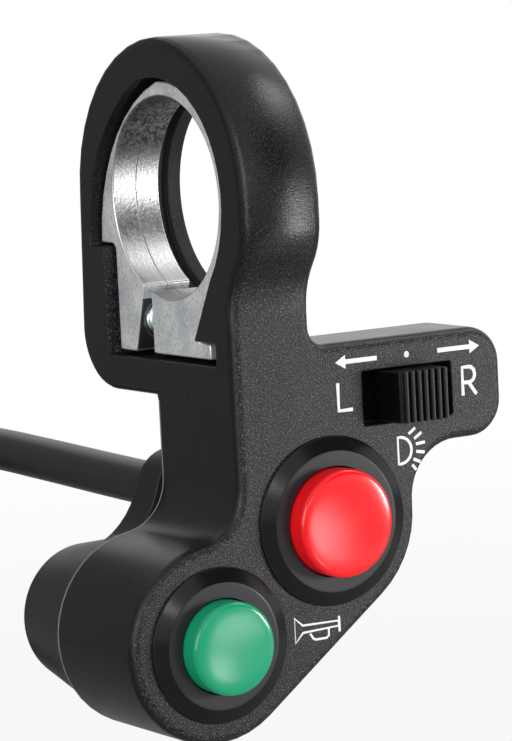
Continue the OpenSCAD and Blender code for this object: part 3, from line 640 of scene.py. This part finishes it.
# %% The tie's head
TIE_W = 3.5
TIE_FIT = 0.2
TIE_BAND = 1
TIE_HEAD = (5, TIE_W + 1.4, 2.4)
TIE_HEAD_UP = 0.9
TIE_HEAD_ROUND = 0.25
SLOT_EDGE = 0.7
SLOT_DEEP = 3
FACING_X = 0.9
tie_top = coil_top.z / MM + CABLE_D / MM / 2 + TIE_FIT + TIE_BAND
bpy.ops.object.select_all(action="DESELECT")
bpy.ops.mesh.primitive_cube_add(
    size=MM, location=(coil_top.x - COIL_PITCH, coil_top.y, (tie_top + TIE_HEAD_UP) * MM)
)
tie_head = bpy.context.object
tie_head.name = "tie_head"
tie_head.scale = TIE_HEAD
bpy.ops.object.transform_apply(location=True, rotation=True, scale=True)
bpy.ops.object.mode_set(mode="EDIT")
bpy.ops.mesh.select_all(action="DESELECT")
bpy.ops.object.mode_set(mode="OBJECT")
for face in tie_head.data.polygons:
    face.select = face.normal.x > FACING_X
bpy.ops.object.mode_set(mode="EDIT")
bpy.ops.mesh.inset(thickness=SLOT_EDGE * MM)
bpy.ops.mesh.extrude_region_move(TRANSFORM_OT_translate={"value": (-SLOT_DEEP * MM, 0, 0)})
bpy.ops.object.mode_set(mode="OBJECT")
round_edges(tie_head, TIE_HEAD_ROUND, steps=3, sharper_than=40)
dressed(tie_head, "housing", "tie_plastic")

# %% [markdown]
# ## Finishes
# Every finish is a Principled shader fed by noise in Object coordinates, so the pattern has a real
# size and stays on the piece. Effects that several finishes share are node groups: a moulded grain
# with bright specks, a slow cloudiness, and a mask of rubbed edges.

# %% A short way to add nodes
def add(tree, kind, inputs=None, **settings):
    """Add a node, set its options, and link or set its inputs by name."""
    node = tree.nodes.new(kind)
    for key, value in settings.items():
        setattr(node, key, value)
    for key, value in (inputs or {}).items():
        if isinstance(value, bpy.types.NodeSocket):
            tree.links.new(value, node.inputs[key])
        else:
            node.inputs[key].default_value = value
    return node


def reckon(tree, how, a, b=0.0, **settings):
    """One step of arithmetic on two values."""
    return add(tree, "ShaderNodeMath", {0: a, 1: b}, operation=how, **settings).outputs[0]


def ramp(tree, value, start, end, low=0.0, high=1.0, **settings):
    """Map a value that runs from start to end to a range."""
    return add(tree, "ShaderNodeMapRange", {
        "Value": value, "From Min": start, "From Max": end, "To Min": low, "To Max": high,
    }, **settings).outputs["Result"]


def ranged(tree, value, low, high):
    """Map a value from 0..1 to a range."""
    return ramp(tree, value, 0.0, 1.0, low, high)


def noise(tree, vector, scale, detail, roughness):
    """Plain noise, as a value."""
    return add(tree, "ShaderNodeTexNoise", {
        "Vector": vector, "Scale": scale, "Detail": detail, "Roughness": roughness,
    }).outputs["Fac"]


# %% Node groups: moulded grain and slow cloudiness
SPECK_FINER = 1.6
SPECK_FROM, SPECK_FULL = 0.53, 0.73
FLECK_FINER = 9.0
PATTERN_INPUTS = {"Vector": "NodeSocketVector", "Scale": "NodeSocketFloat"}


def new_group(name, inputs, outputs):
    """An empty group with its sockets, and the outputs and inputs to wire up inside it."""
    tree = bpy.data.node_groups.new(name, "ShaderNodeTree")
    for socket, kind in inputs.items():
        tree.interface.new_socket(socket, in_out="INPUT", socket_type=kind)
    for socket in outputs:
        tree.interface.new_socket(socket, in_out="OUTPUT", socket_type="NodeSocketFloat")
    return tree, tree.nodes.new("NodeGroupInput").outputs, tree.nodes.new("NodeGroupOutput").inputs


grain_tree, given, result = new_group("moulded_grain", PATTERN_INPUTS, ("Height", "Speck"))
pits = noise(grain_tree, given["Vector"], given["Scale"], 3.0, 0.65)
finer = reckon(grain_tree, "MULTIPLY", given["Scale"], SPECK_FINER)
specks = noise(grain_tree, given["Vector"], finer, 2.0, 0.7)
grain_tree.links.new(pits, result["Height"])
grain_tree.links.new(ramp(grain_tree, specks, SPECK_FROM, SPECK_FULL), result["Speck"])

cloud_tree, given, result = new_group("cloudiness", PATTERN_INPUTS, ("Cloud", "Fleck"))
cloud = noise(cloud_tree, given["Vector"], given["Scale"], 4.0, 0.55)
finer = reckon(cloud_tree, "MULTIPLY", given["Scale"], FLECK_FINER)
fleck = noise(cloud_tree, given["Vector"], finer, 3.0, 0.6)
cloud_tree.links.new(cloud, result["Cloud"])
cloud_tree.links.new(fleck, result["Fleck"])
print("groups:", grain_tree.name, "and", cloud_tree.name)

# %% Node group: rubbed edges
RUB_NONE, RUB_FULL = 0.995, 0.85
rub_tree, given, result = new_group("rubbed_edges", {"Radius": "NodeSocketFloat"}, ("Mask",))
softened = add(rub_tree, "ShaderNodeBevel", {"Radius": given["Radius"]}, samples=4)
facing = add(rub_tree, "ShaderNodeNewGeometry")
alike = add(rub_tree, "ShaderNodeVectorMath", {
    0: softened.outputs["Normal"], 1: facing.outputs["Normal"],
}, operation="DOT_PRODUCT")
rub_tree.links.new(ramp(rub_tree, alike.outputs["Value"], RUB_NONE, RUB_FULL), result["Mask"])
print("group:", rub_tree.name)


# %% One way to start every finish
def finish(name):
    """A new material with its tree, its Principled shader's inputs and its coordinates."""
    material = bpy.data.materials.new(name)
    material.use_nodes = True
    tree = material.node_tree
    shader = tree.nodes["Principled BSDF"]
    return material, tree, shader.inputs, add(tree, "ShaderNodeTexCoord").outputs


def pattern(tree, group, coords, scale):
    """The outputs of a group that is laid in Object coordinates."""
    inputs = {"Vector": coords["Object"], "Scale": scale}
    return add(tree, "ShaderNodeGroup", inputs, node_tree=group).outputs


def rub_mask(tree, radius):
    """Where edges are rubbed, within a radius in millimetres."""
    return add(tree, "ShaderNodeGroup", {"Radius": radius * MM}, node_tree=rub_tree).outputs["Mask"]


def axes(tree, vector):
    """The three parts of a place or of a normal."""
    return add(tree, "ShaderNodeSeparateXYZ", {"Vector": vector}).outputs


def length(tree, vector):
    """How long a vector is."""
    return add(tree, "ShaderNodeVectorMath", {0: vector}, operation="LENGTH").outputs["Value"]


def blend(tree, factor, a, b):
    """A colour between two colours."""
    return add(tree, "ShaderNodeMix", {0: factor, 6: a, 7: b}, data_type="RGBA").outputs[2]


def bumped(tree, shader, height, strength, deep, over=None):
    """A fine relief, on the plain surface or over a broader relief."""
    bump = add(tree, "ShaderNodeBump", {"Height": height, "Strength": strength, "Distance": deep * MM})
    if over is not None:
        tree.links.new(over, bump.inputs["Normal"])
    tree.links.new(bump.outputs["Normal"], shader["Normal"])


def grey(v, cool=0.0):
    """A grey, a little bluer where asked."""
    return (v * (1 - cool), v, v * (1 + cool), 1)


def soot(v):
    """A near black with a trace of violet, as carbon-filled plastic has."""
    return (v, 0.96 * v, 1.12 * v, 1)


# %% [markdown]
# ## The black mouldings
# The pod, its covers and the thumb knob are moulded in black plastic. The mould of the pod was spark
# eroded, so its face has a fine grain, and its sides are smoother. The bright specks on the face are
# painted glints, as light catches that grain. The grain could be painted as an image, but noise needs
# none and has a true size. Masks worked out from the place and the normal say where the grain lies,
# where the strap over the bar is rubbed smoother and has few painted glints, as the lamps miss it,
# where a pale line along the seam of the two halves is painted as a highlight on its edge, and where
# fine ribs cross the lip round the bar.

# %% Masks of the pod
SEAM_Y = 1.8
SEAM_TOP = -22.0
SEAM_EDGE, SEAM_CORE = 0.28, 0.14
WALL_FROM, WALL_FULL = 0.6, 0.4
LIP_RIBS = 220
LIP_R = 12.2
STRAP_HALF = 5.0
STRAP_CROWN = 1.0


def seam_highlight(tree, place, turned, texture):
    """A painted highlight: a pale, broken line along the seam of the two halves, on the side walls."""
    gap = reckon(tree, "ABSOLUTE", reckon(tree, "SUBTRACT", place["Y"], SEAM_Y * MM))
    seam_shine = ramp(tree, gap, SEAM_EDGE * MM, SEAM_CORE * MM)
    below = reckon(tree, "LESS_THAN", place["Z"], SEAM_TOP * MM)
    on_wall = ramp(tree, reckon(tree, "ABSOLUTE", turned["Y"]), WALL_FROM, WALL_FULL)
    seam_shine = reckon(tree, "MULTIPLY", reckon(tree, "MULTIPLY", seam_shine, below), on_wall)
    return reckon(tree, "MULTIPLY", seam_shine, ranged(tree, texture["Height"], 0.2, 1.2), use_clamp=True)


def from_bar(tree, place):
    """How far a place lies from the axis of the bar."""
    across = add(tree, "ShaderNodeCombineXYZ", {"Y": place["Y"], "Z": place["Z"]})
    return length(tree, across.outputs["Vector"])


def lip_and_ribs(tree, place):
    """The lip round the bar on the far side of the collar, and the fine ribs that cross it."""
    on_lip = reckon(tree, "LESS_THAN", from_bar(tree, place), LIP_R * MM)
    around = reckon(tree, "ARCTAN2", place["Z"], place["Y"])
    wave = reckon(tree, "SINE", reckon(tree, "MULTIPLY", around, float(LIP_RIBS)))
    return on_lip, reckon(tree, "MULTIPLY", wave, on_lip, use_clamp=True)


def strap_crown(tree, place, on_strap):
    """The strap over the bar is a little crowned from side to side."""
    half_way = reckon(tree, "DIVIDE", place["X"], STRAP_HALF * MM)
    fall = reckon(tree, "MULTIPLY", reckon(tree, "POWER", half_way, 2.0), on_strap)
    return add(tree, "ShaderNodeBump", {
        "Height": fall, "Strength": 1.0, "Distance": STRAP_CROWN * MM,
    }, invert=True).outputs["Normal"]


# %% Black mouldings
FACE_FROM, FACE_FULL = -0.55, -0.9
STRAP_LOW, STRAP_HIGH = -14.0, -4.0
STRAP_GRAIN = 0.25
STRAP_RUBBED = -0.09
MOULD_CLOUDS = 160.0
MOULD_RUB = 0.35
MOULD_RELIEF = 0.6
SIDE_GLINTS = 0.08
SIDE_RELIEF = 0.25
CLOUD_LIFT = 1.5
CLOUD_DULL = 0.06
EDGE_WORN = 0.06
SEAM_HIGHLIGHT = 0.34
LIP_PALE = 0.016
LIP_DULLED = 0.4


def black_moulding(name, front, side, glint, rough, side_rough, grain, deep, specular=0.24):
    """Grained on the face towards the rider, with painted glints of the grain, smoother on the sides."""
    material, tree, shader, coords = finish(name)
    turned = axes(tree, coords["Normal"])
    place = axes(tree, coords["Object"])
    texture = pattern(tree, grain_tree, coords, grain)
    clouds = pattern(tree, cloud_tree, coords, MOULD_CLOUDS)
    ahead = ramp(tree, turned["Y"], FACE_FROM, FACE_FULL)
    on_strap = ramp(
        tree, place["Z"], STRAP_LOW * MM, STRAP_HIGH * MM, interpolation_type="SMOOTHSTEP")
    grained = reckon(tree, "MULTIPLY", ahead, ranged(tree, on_strap, 1.0, STRAP_GRAIN))
    # The bright specks are painted glints of the grain: full on the face, few on the sides and on the
    # strap, where the lamps miss it
    specks = reckon(tree, "MULTIPLY", texture["Speck"], ranged(tree, grained, SIDE_GLINTS, 1.0))
    on_lip, ribs = lip_and_ribs(tree, place)
    # From the ground colour to the clouds, the painted glints, the worn edges, the painted seam highlight
    # and the ribs
    tone = blend(tree, grained, soot(side), soot(front))
    tone = blend(tree, ranged(tree, clouds["Cloud"], 0.0, 0.25), tone, soot(side * CLOUD_LIFT))
    tone = blend(tree, specks, tone, soot(glint))
    tone = blend(tree, ranged(tree, rub_mask(tree, MOULD_RUB), 0.0, 0.4), tone, soot(EDGE_WORN))
    # The pale line along the seam is a painted highlight on the edge where the two halves meet
    tone = blend(tree, seam_highlight(tree, place, turned, texture), tone, grey(SEAM_HIGHLIGHT))
    tone = blend(tree, ribs, tone, soot(LIP_PALE))
    tree.links.new(tone, shader["Base Color"])
    # The face is rougher than the sides, the strap is rubbed smoother, and the lip is dull
    by_face = {"Factor": grained, "A": side_rough, "B": rough}
    dull = add(tree, "ShaderNodeMix", by_face, data_type="FLOAT").outputs[0]
    dull = reckon(tree, "ADD", dull, ranged(tree, clouds["Cloud"], -CLOUD_DULL, CLOUD_DULL))
    dull = reckon(tree, "ADD", dull, ranged(tree, on_strap, 0.0, STRAP_RUBBED))
    dull = reckon(tree, "ADD", dull, ranged(tree, on_lip, 0.0, LIP_DULLED))
    tree.links.new(dull, shader["Roughness"])
    height = reckon(tree, "MULTIPLY", texture["Height"], ranged(tree, ahead, SIDE_RELIEF, 1.0))
    bumped(tree, shader, height, MOULD_RELIEF, deep, over=strap_crown(tree, place, on_strap))
    shader["Specular IOR Level"].default_value = specular
    return material


# %% Three black finishes
finishes = {}
finishes["housing_plastic"] = black_moulding(
    "spark_grained_black", front=0.006, side=0.006, glint=0.20, rough=0.48, side_rough=0.26,
    grain=4200.0, deep=0.08)
finishes["cover_plastic"] = black_moulding(
    "satin_black", front=0.008, side=0.006, glint=0.03, rough=0.40, side_rough=0.34,
    grain=5200.0, deep=0.02)
finishes["knob_plastic"] = black_moulding(
    "thumb_black", front=0.004, side=0.003, glint=0.010, rough=0.32, side_rough=0.32,
    grain=6000.0, deep=0.008, specular=0.12)
print(len(finishes), "black mouldings")

# %% [markdown]
# ## Finishes with one ground colour
# The caps, the cable, the nylon pieces, the contacts and the small screws each have one colour all
# over. A flat colour would look like a drawing, so each finish wanders between two close tones, its
# roughness wanders too, its edges are a little lighter, and a very fine relief breaks its highlights.

# %% Plain finishes
PLAIN_RUB = 0.25
PLAIN_RELIEF = 0.4
EDGE_LIFT = 1.3


def plain_finish(name, dark, light, rough, scale=300.0, metallic=0.0, deep=0.01, specular=0.5):
    """Two close tones, a roughness that wanders, and a fine surface."""
    material, tree, shader, coords = finish(name)
    clouds = pattern(tree, cloud_tree, coords, scale)
    tone = blend(tree, clouds["Cloud"], (*dark, 1), (*light, 1))
    edge = (*[min(1, EDGE_LIFT * c) for c in light], 1)
    worn = blend(tree, ranged(tree, rub_mask(tree, PLAIN_RUB), 0.0, 0.35), tone, edge)
    tree.links.new(worn, shader["Base Color"])
    tree.links.new(ranged(tree, clouds["Fleck"], *rough), shader["Roughness"])
    bumped(tree, shader, clouds["Fleck"], PLAIN_RELIEF, deep)
    shader["Metallic"].default_value = metallic
    shader["Specular IOR Level"].default_value = specular
    return material


gloss = {"deep": 0.003, "specular": 0.4}
rubber = {"deep": 0.008, "specular": 0.45}
board = {"scale": 500.0}
metal = {"metallic": 1.0}
plain_rows = [
    ("red_plastic", "gloss_red", (0.92, 0.007, 0.012), (0.96, 0.010, 0.015), (0.14, 0.19), gloss),
    ("green_plastic", "gloss_green", (0.007, 0.32, 0.150), (0.010, 0.36, 0.172), (0.14, 0.19), gloss),
    ("cable_rubber", "cable_black", (0.004, 0.004, 0.0043), (0.008, 0.008, 0.0085), (0.30, 0.42), rubber),
    ("tie_plastic", "nylon_black", (0.014, 0.014, 0.015), (0.022, 0.022, 0.024), (0.35, 0.5), {}),
    ("connector_plastic", "nylon_natural", (0.70, 0.69, 0.63), (0.80, 0.79, 0.74), (0.35, 0.5), {}),
    ("natural_plastic", "white_acetal", (0.78, 0.78, 0.74), (0.86, 0.86, 0.83), (0.35, 0.5), {}),
    ("laminate", "phenolic_brown", (0.19, 0.085, 0.032), (0.27, 0.13, 0.055), (0.45, 0.65), board),
    ("wire_skin", "wire_blue", (0.02, 0.04, 0.16), (0.03, 0.06, 0.22), (0.35, 0.5), {}),
    ("contact_brass", "contact_brass", (0.66, 0.48, 0.20), (0.80, 0.62, 0.30), (0.2, 0.38), metal),
    ("nut_brass", "turned_brass", (0.52, 0.40, 0.20), (0.68, 0.54, 0.30), (0.25, 0.45), metal),
    ("spring_steel", "spring_wire", (0.48, 0.48, 0.50), (0.62, 0.62, 0.64), (0.22, 0.4), metal),
    ("plated_sheet", "tinned_sheet", (0.58, 0.59, 0.60), (0.72, 0.73, 0.74), (0.25, 0.42), metal),
    ("screw_steel", "zinc_plated_steel", (0.46, 0.47, 0.49), (0.60, 0.61, 0.63), (0.25, 0.42), metal),
    ("plated_screw", "blue_plated_steel", (0.46, 0.58, 0.58), (0.66, 0.78, 0.77), (0.22, 0.4), metal),
]
for slot, name, dark, light, rough, more in plain_rows:
    finishes[slot] = plain_finish(name, dark, light, rough, **more)
print_white = plain_finish(
    "printed_white", (0.72, 0.73, 0.76), (0.86, 0.87, 0.90), (0.45, 0.6), scale=900.0)
print(len(plain_rows) + 1, "plain finishes")

# %% [markdown]
# ## The bezels
# A bezel is one black moulding, polished on its cone and satin on the level face round the cap. Two
# materials would need a cut in the mesh. The normal already tells the two faces apart, so one
# material takes both its colour and its roughness from it.

# %% Bezels, glossy on the cone and satin on the level face
LEVEL_FROM, LEVEL_FULL = -0.945, -0.985
SATIN_MORE = 0.28
BEZEL_CLOUDS = 300.0
BEZEL_DEEP = 0.004
BEZEL_SPECULAR = 0.3
material, tree, shader, coords = finish("gloss_black")
clouds = pattern(tree, cloud_tree, coords, BEZEL_CLOUDS)
level = ramp(tree, axes(tree, coords["Normal"])["Y"], LEVEL_FROM, LEVEL_FULL)
cone_black = blend(tree, clouds["Cloud"], soot(0.003), soot(0.006))
face_black = blend(tree, clouds["Fleck"], soot(0.015), soot(0.022))
tree.links.new(blend(tree, level, cone_black, face_black), shader["Base Color"])
dull = reckon(
    tree, "ADD", ranged(tree, clouds["Fleck"], 0.14, 0.28), ranged(tree, level, 0.0, SATIN_MORE))
tree.links.new(dull, shader["Roughness"])
bumped(tree, shader, clouds["Fleck"], PLAIN_RELIEF, BEZEL_DEEP)
shader["Specular IOR Level"].default_value = BEZEL_SPECULAR
finishes["bezel_plastic"] = material
print(material.name, "has", len(tree.nodes), "nodes")

# %% [markdown]
# ## The cast collar
# The collar is bare die-cast zinc: a pale, stained skin with small pits and bright specks. Its bore
# was turned, so fine lines run round it, and its upper part is painted darker in blotches, a painted
# reflection of the dark surroundings that it mirrors. The mould's halves left a line round the bore,
# and the two faces of the split are painted near black, as painted shade in the narrow gap between
# the lugs. All of it hangs on the place and the normal, so one material makes it and no part of the
# mesh needs its own.

# %% Masks and skin of the collar
LINE_X = -1.0
LINE_EDGE, LINE_CORE = 0.09, 0.02
BORE_FROM, BORE_FULL = 11.25, 11.1
SPLIT_FROM, SPLIT_FULL = -0.6, -0.9
LUG_TOP = -11.2
LUG_FRONT = 4.5
ZINC_CLOUDS = 260.0
ZINC_SKIN = 2800.0
material, tree, shader, coords = finish("cast_zinc")
clouds = pattern(tree, cloud_tree, coords, ZINC_CLOUDS)
skin = pattern(tree, grain_tree, coords, ZINC_SKIN)
place = axes(tree, coords["Object"])
line_gap = reckon(tree, "ABSOLUTE", reckon(tree, "SUBTRACT", place["X"], LINE_X * MM))
line_mask = ramp(tree, line_gap, LINE_EDGE * MM, LINE_CORE * MM)
in_bore = ramp(tree, from_bar(tree, place), BORE_FROM * MM, BORE_FULL * MM)
split_face = ramp(tree, axes(tree, coords["Normal"])["Y"], SPLIT_FROM, SPLIT_FULL)
below_bore = reckon(tree, "LESS_THAN", place["Z"], LUG_TOP * MM)
behind_split = reckon(tree, "GREATER_THAN", place["Y"], LUG_FRONT * MM)
gap_shade = reckon(tree, "MULTIPLY", reckon(tree, "MULTIPLY", below_bore, behind_split), split_face)

zinc = blend(tree, ramp(tree, clouds["Cloud"], 0.42, 0.66), grey(0.88, 0.025), grey(0.62, 0.035))
zinc = blend(tree, ramp(tree, skin["Height"], 0.50, 0.34, 0.0, 0.55), zinc, grey(0.34, 0.04))
zinc = blend(tree, ranged(tree, skin["Speck"], 0.0, 0.5), zinc, grey(0.95, 0.01))
print("the collar's skin has", len(tree.nodes), "nodes")

# %% The turned bore, and the collar's finish
TURNED_LINES = (9000.0, 260.0, 260.0)
DARK_MIRROR_LOW, DARK_MIRROR_HIGH = 1.5, 6.0
ZINC_RUB = 0.4
ZINC_RELIEF = 0.5
ZINC_DEEP = 0.06
stretched = add(tree, "ShaderNodeVectorMath", {
    0: coords["Object"], 1: TURNED_LINES,
}, operation="MULTIPLY")
lines = noise(tree, stretched.outputs["Vector"], 1.0, 3.0, 0.5)
bore_metal = blend(tree, lines, grey(0.26), grey(0.76))
# Painted reflection: the upper part of the bore is painted darker in blotches, for the dark surroundings
# that it mirrors
high_up = ramp(tree, place["Z"], DARK_MIRROR_LOW * MM, DARK_MIRROR_HIGH * MM)
blotch = ramp(tree, clouds["Fleck"], 0.40, 0.60, 0.35, 1.0)
bore_metal = blend(tree, reckon(tree, "MULTIPLY", high_up, blotch), bore_metal, grey(0.08))
zinc = blend(tree, in_bore, zinc, bore_metal)
# Painted shade: the split faces between the lugs are painted near black, for the shade in that narrow gap
zinc = blend(tree, gap_shade, zinc, grey(0.05))
zinc = blend(tree, ranged(tree, rub_mask(tree, ZINC_RUB), 0.0, 0.7), zinc, grey(0.86))
zinc = blend(tree, ranged(tree, line_mask, 0.0, 0.8), zinc, grey(0.22))
tree.links.new(zinc, shader["Base Color"])
tree.links.new(ranged(tree, clouds["Fleck"], 0.2, 0.5), shader["Roughness"])
relief = reckon(tree, "ADD", skin["Height"], ranged(tree, line_mask, 0.0, -1.0))
bumped(tree, shader, relief, ZINC_RELIEF, ZINC_DEEP)
tree.links.new(ranged(tree, in_bore, 0.5, 1.0), shader["Metallic"])
finishes["zinc_casting"] = material
print(material.name, "has", len(tree.nodes), "nodes")

# %% [markdown]
# ## Handing out the finishes
# The record names a material slot for every node, and every piece carries the slot that it was
# dressed with. The finishes could be set one by one, but the slots already say which goes where, so
# two loops do it. Only the printed marks get an ink of their own.

# %% Give every piece and every CAD node its finish
slot_of = {row["node"]: row["material_slot"] for row in frame["record"]["subparts"]}
for node, piece in frame["nodes"].items():
    piece.data.materials.clear()
    piece.data.materials.append(finishes[slot_of[node]])
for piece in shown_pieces():
    if "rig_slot" in piece:
        piece.data.materials.clear()
        piece.data.materials.append(finishes[piece["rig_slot"]])
print_marks.data.materials.clear()
print_marks.data.materials.append(print_white)

# %% [markdown]
# ## Floor and cards
# The photograph has a white ground. The floor is a wide mid-grey sheet that the camera sees as white
# and that still takes the pod's shadow. Away from the pod it is plain white, so that its far edge
# melts into the world. The sides of the pod mirror what stands behind them on the left, and its face
# what stands in front on the right. Grey cards there keep the plastic dark between the lamps. They
# stand outside the picture, and the camera passes through them in other views.

# %% Floor
FLOOR_GAP = 0.2
FLOOR_SIZE = 3
PAPER_ROUGH = 0.9
PAPER_FIBRE = 40.0
WHITER_FROM, WHITER_FULL = 0.18, 0.45
WHITE_NEAR = 0.9
bpy.ops.object.select_all(action="DESELECT")
bpy.ops.mesh.primitive_plane_add(size=FLOOR_SIZE, location=(0, 0, cad_box[0][2] - FLOOR_GAP * MM))
floor = bpy.context.object
floor.name = "studio_floor"
material, tree, shader, coords = finish("floor_paper")
paper = pattern(tree, cloud_tree, coords, PAPER_FIBRE)
tree.links.new(blend(tree, paper["Fleck"], grey(0.46), grey(0.52)), shader["Base Color"])
shader["Roughness"].default_value = PAPER_ROUGH
seen = add(tree, "ShaderNodeLightPath").outputs
glow = add(tree, "ShaderNodeEmission", {"Color": grey(1.0), "Strength": 1.0})
whiter = ramp(tree, length(tree, coords["Object"]), WHITER_FROM, WHITER_FULL, WHITE_NEAR, 1.0)
both = add(tree, "ShaderNodeMixShader", {
    0: reckon(tree, "MULTIPLY", seen["Is Camera Ray"], whiter),
    1: tree.nodes["Principled BSDF"].outputs["BSDF"],
    2: glow.outputs["Emission"],
})
tree.links.new(both.outputs["Shader"], tree.nodes["Material Output"].inputs["Surface"])
floor.data.materials.append(material)
print(floor.name, "lies at", round(floor.location.z / MM, 1), "mm")

# %% Grey cards
CARD_LIFT = 1.25
CARD_FIBRE = 60.0


def grey_card(name, tone, toward, far, size):
    """A card that stands in a direction from the bore and faces it."""
    card_grey, tree, shader, coords = finish(name)
    fibre = pattern(tree, cloud_tree, coords, CARD_FIBRE)
    card_tone = blend(tree, fibre["Fleck"], grey(tone), grey(CARD_LIFT * tone))
    tree.links.new(card_tone, shader["Base Color"])
    shader["Roughness"].default_value = PAPER_ROUGH
    toward = Vector(toward).normalized()
    bpy.ops.object.select_all(action="DESELECT")
    bpy.ops.mesh.primitive_plane_add(
        size=size, location=toward * far, rotation=toward.to_track_quat("Z", "Y").to_euler()
    )
    card = bpy.context.object
    card.name = name
    card.visible_camera = False
    card.data.materials.append(card_grey)
    print(card.name, "stands", far, "m away")


grey_card("left_card", 0.48, (-0.53, 0.84, -0.05), 0.36, 0.6)
grey_card("right_card", 0.03, (0.57, -0.74, 0.36), 0.55, 0.38)

# %% [markdown]
# ## World and lamps
# The photograph shows a few soft highlights on black. The world is white for the camera and for
# reflections, and dimmer as a lamp. One big lamp could light it all, but it would grey the black
# plastic, so small soft lamps stand where each highlight needs one. The upper and the lower lamp make
# the two glows on the strap over the bar, the front lamp lights the level faces, the red and the green
# lamp are mirrored in their caps, the high lamp catches the cones of the bezels, and the large left
# lamp lights the collar and the left edges.

# %% World
WORLD_AS_LAMP = 0.40
world = bpy.data.worlds.new("white_studio")
bpy.context.scene.world = world
world.use_nodes = True
tree = world.node_tree
seen = add(tree, "ShaderNodeLightPath").outputs
mirror = reckon(tree, "MAXIMUM", seen["Is Camera Ray"], seen["Is Transmission Ray"])
mirror = reckon(tree, "MAXIMUM", mirror, seen["Is Glossy Ray"])
tree.links.new(ranged(tree, mirror, WORLD_AS_LAMP, 1.0), tree.nodes["Background"].inputs["Strength"])
tree.nodes["Background"].inputs["Color"].default_value = (1, 1, 1, 1)
print(world.name, "lights at", WORLD_AS_LAMP)

# %% Lamps
aim = Vector((3, -4, -28)) * MM


def lamp(name, toward, far, size, watts):
    """A square soft lamp that stands in a direction from the pod and looks at it."""
    bpy.ops.object.select_all(action="DESELECT")
    bpy.ops.object.light_add(type="AREA")
    light = bpy.context.object
    light.name = name
    light.data.size = size
    light.data.energy = watts
    light.location = aim + Vector(toward).normalized() * far
    light.rotation_euler = (light.location - aim).to_track_quat("Z", "Y").to_euler()
    print(name, "of", watts, "W stands", far, "m away")


lamp("upper_lamp", (0.66, -0.11, 0.74), 0.33, 0.10, 0.18)
lamp("lower_lamp", (0.75, -0.66, -0.03), 0.24, 0.05, 0.34)
lamp("front_lamp", (0.42, -0.89, -0.18), 0.24, 0.03, 0.018)
lamp("red_lamp", (0.437, -0.865, -0.247), 0.104, 0.014, 0.0026)
lamp("green_lamp", (0.284, -0.872, -0.399), 0.113, 0.012, 0.0042)
lamp("high_lamp", (-0.20, -0.93, 0.30), 0.35, 0.04, 0.06)
lamp("left_lamp", (-0.82, -0.52, 0.22), 0.45, 0.25, 0.9)

# %% [markdown]
# ## Colours at the end
# The Standard view shows a colour about as it is written.

# %% Standard colours and the end
bpy.context.scene.view_settings.view_transform = "Standard"
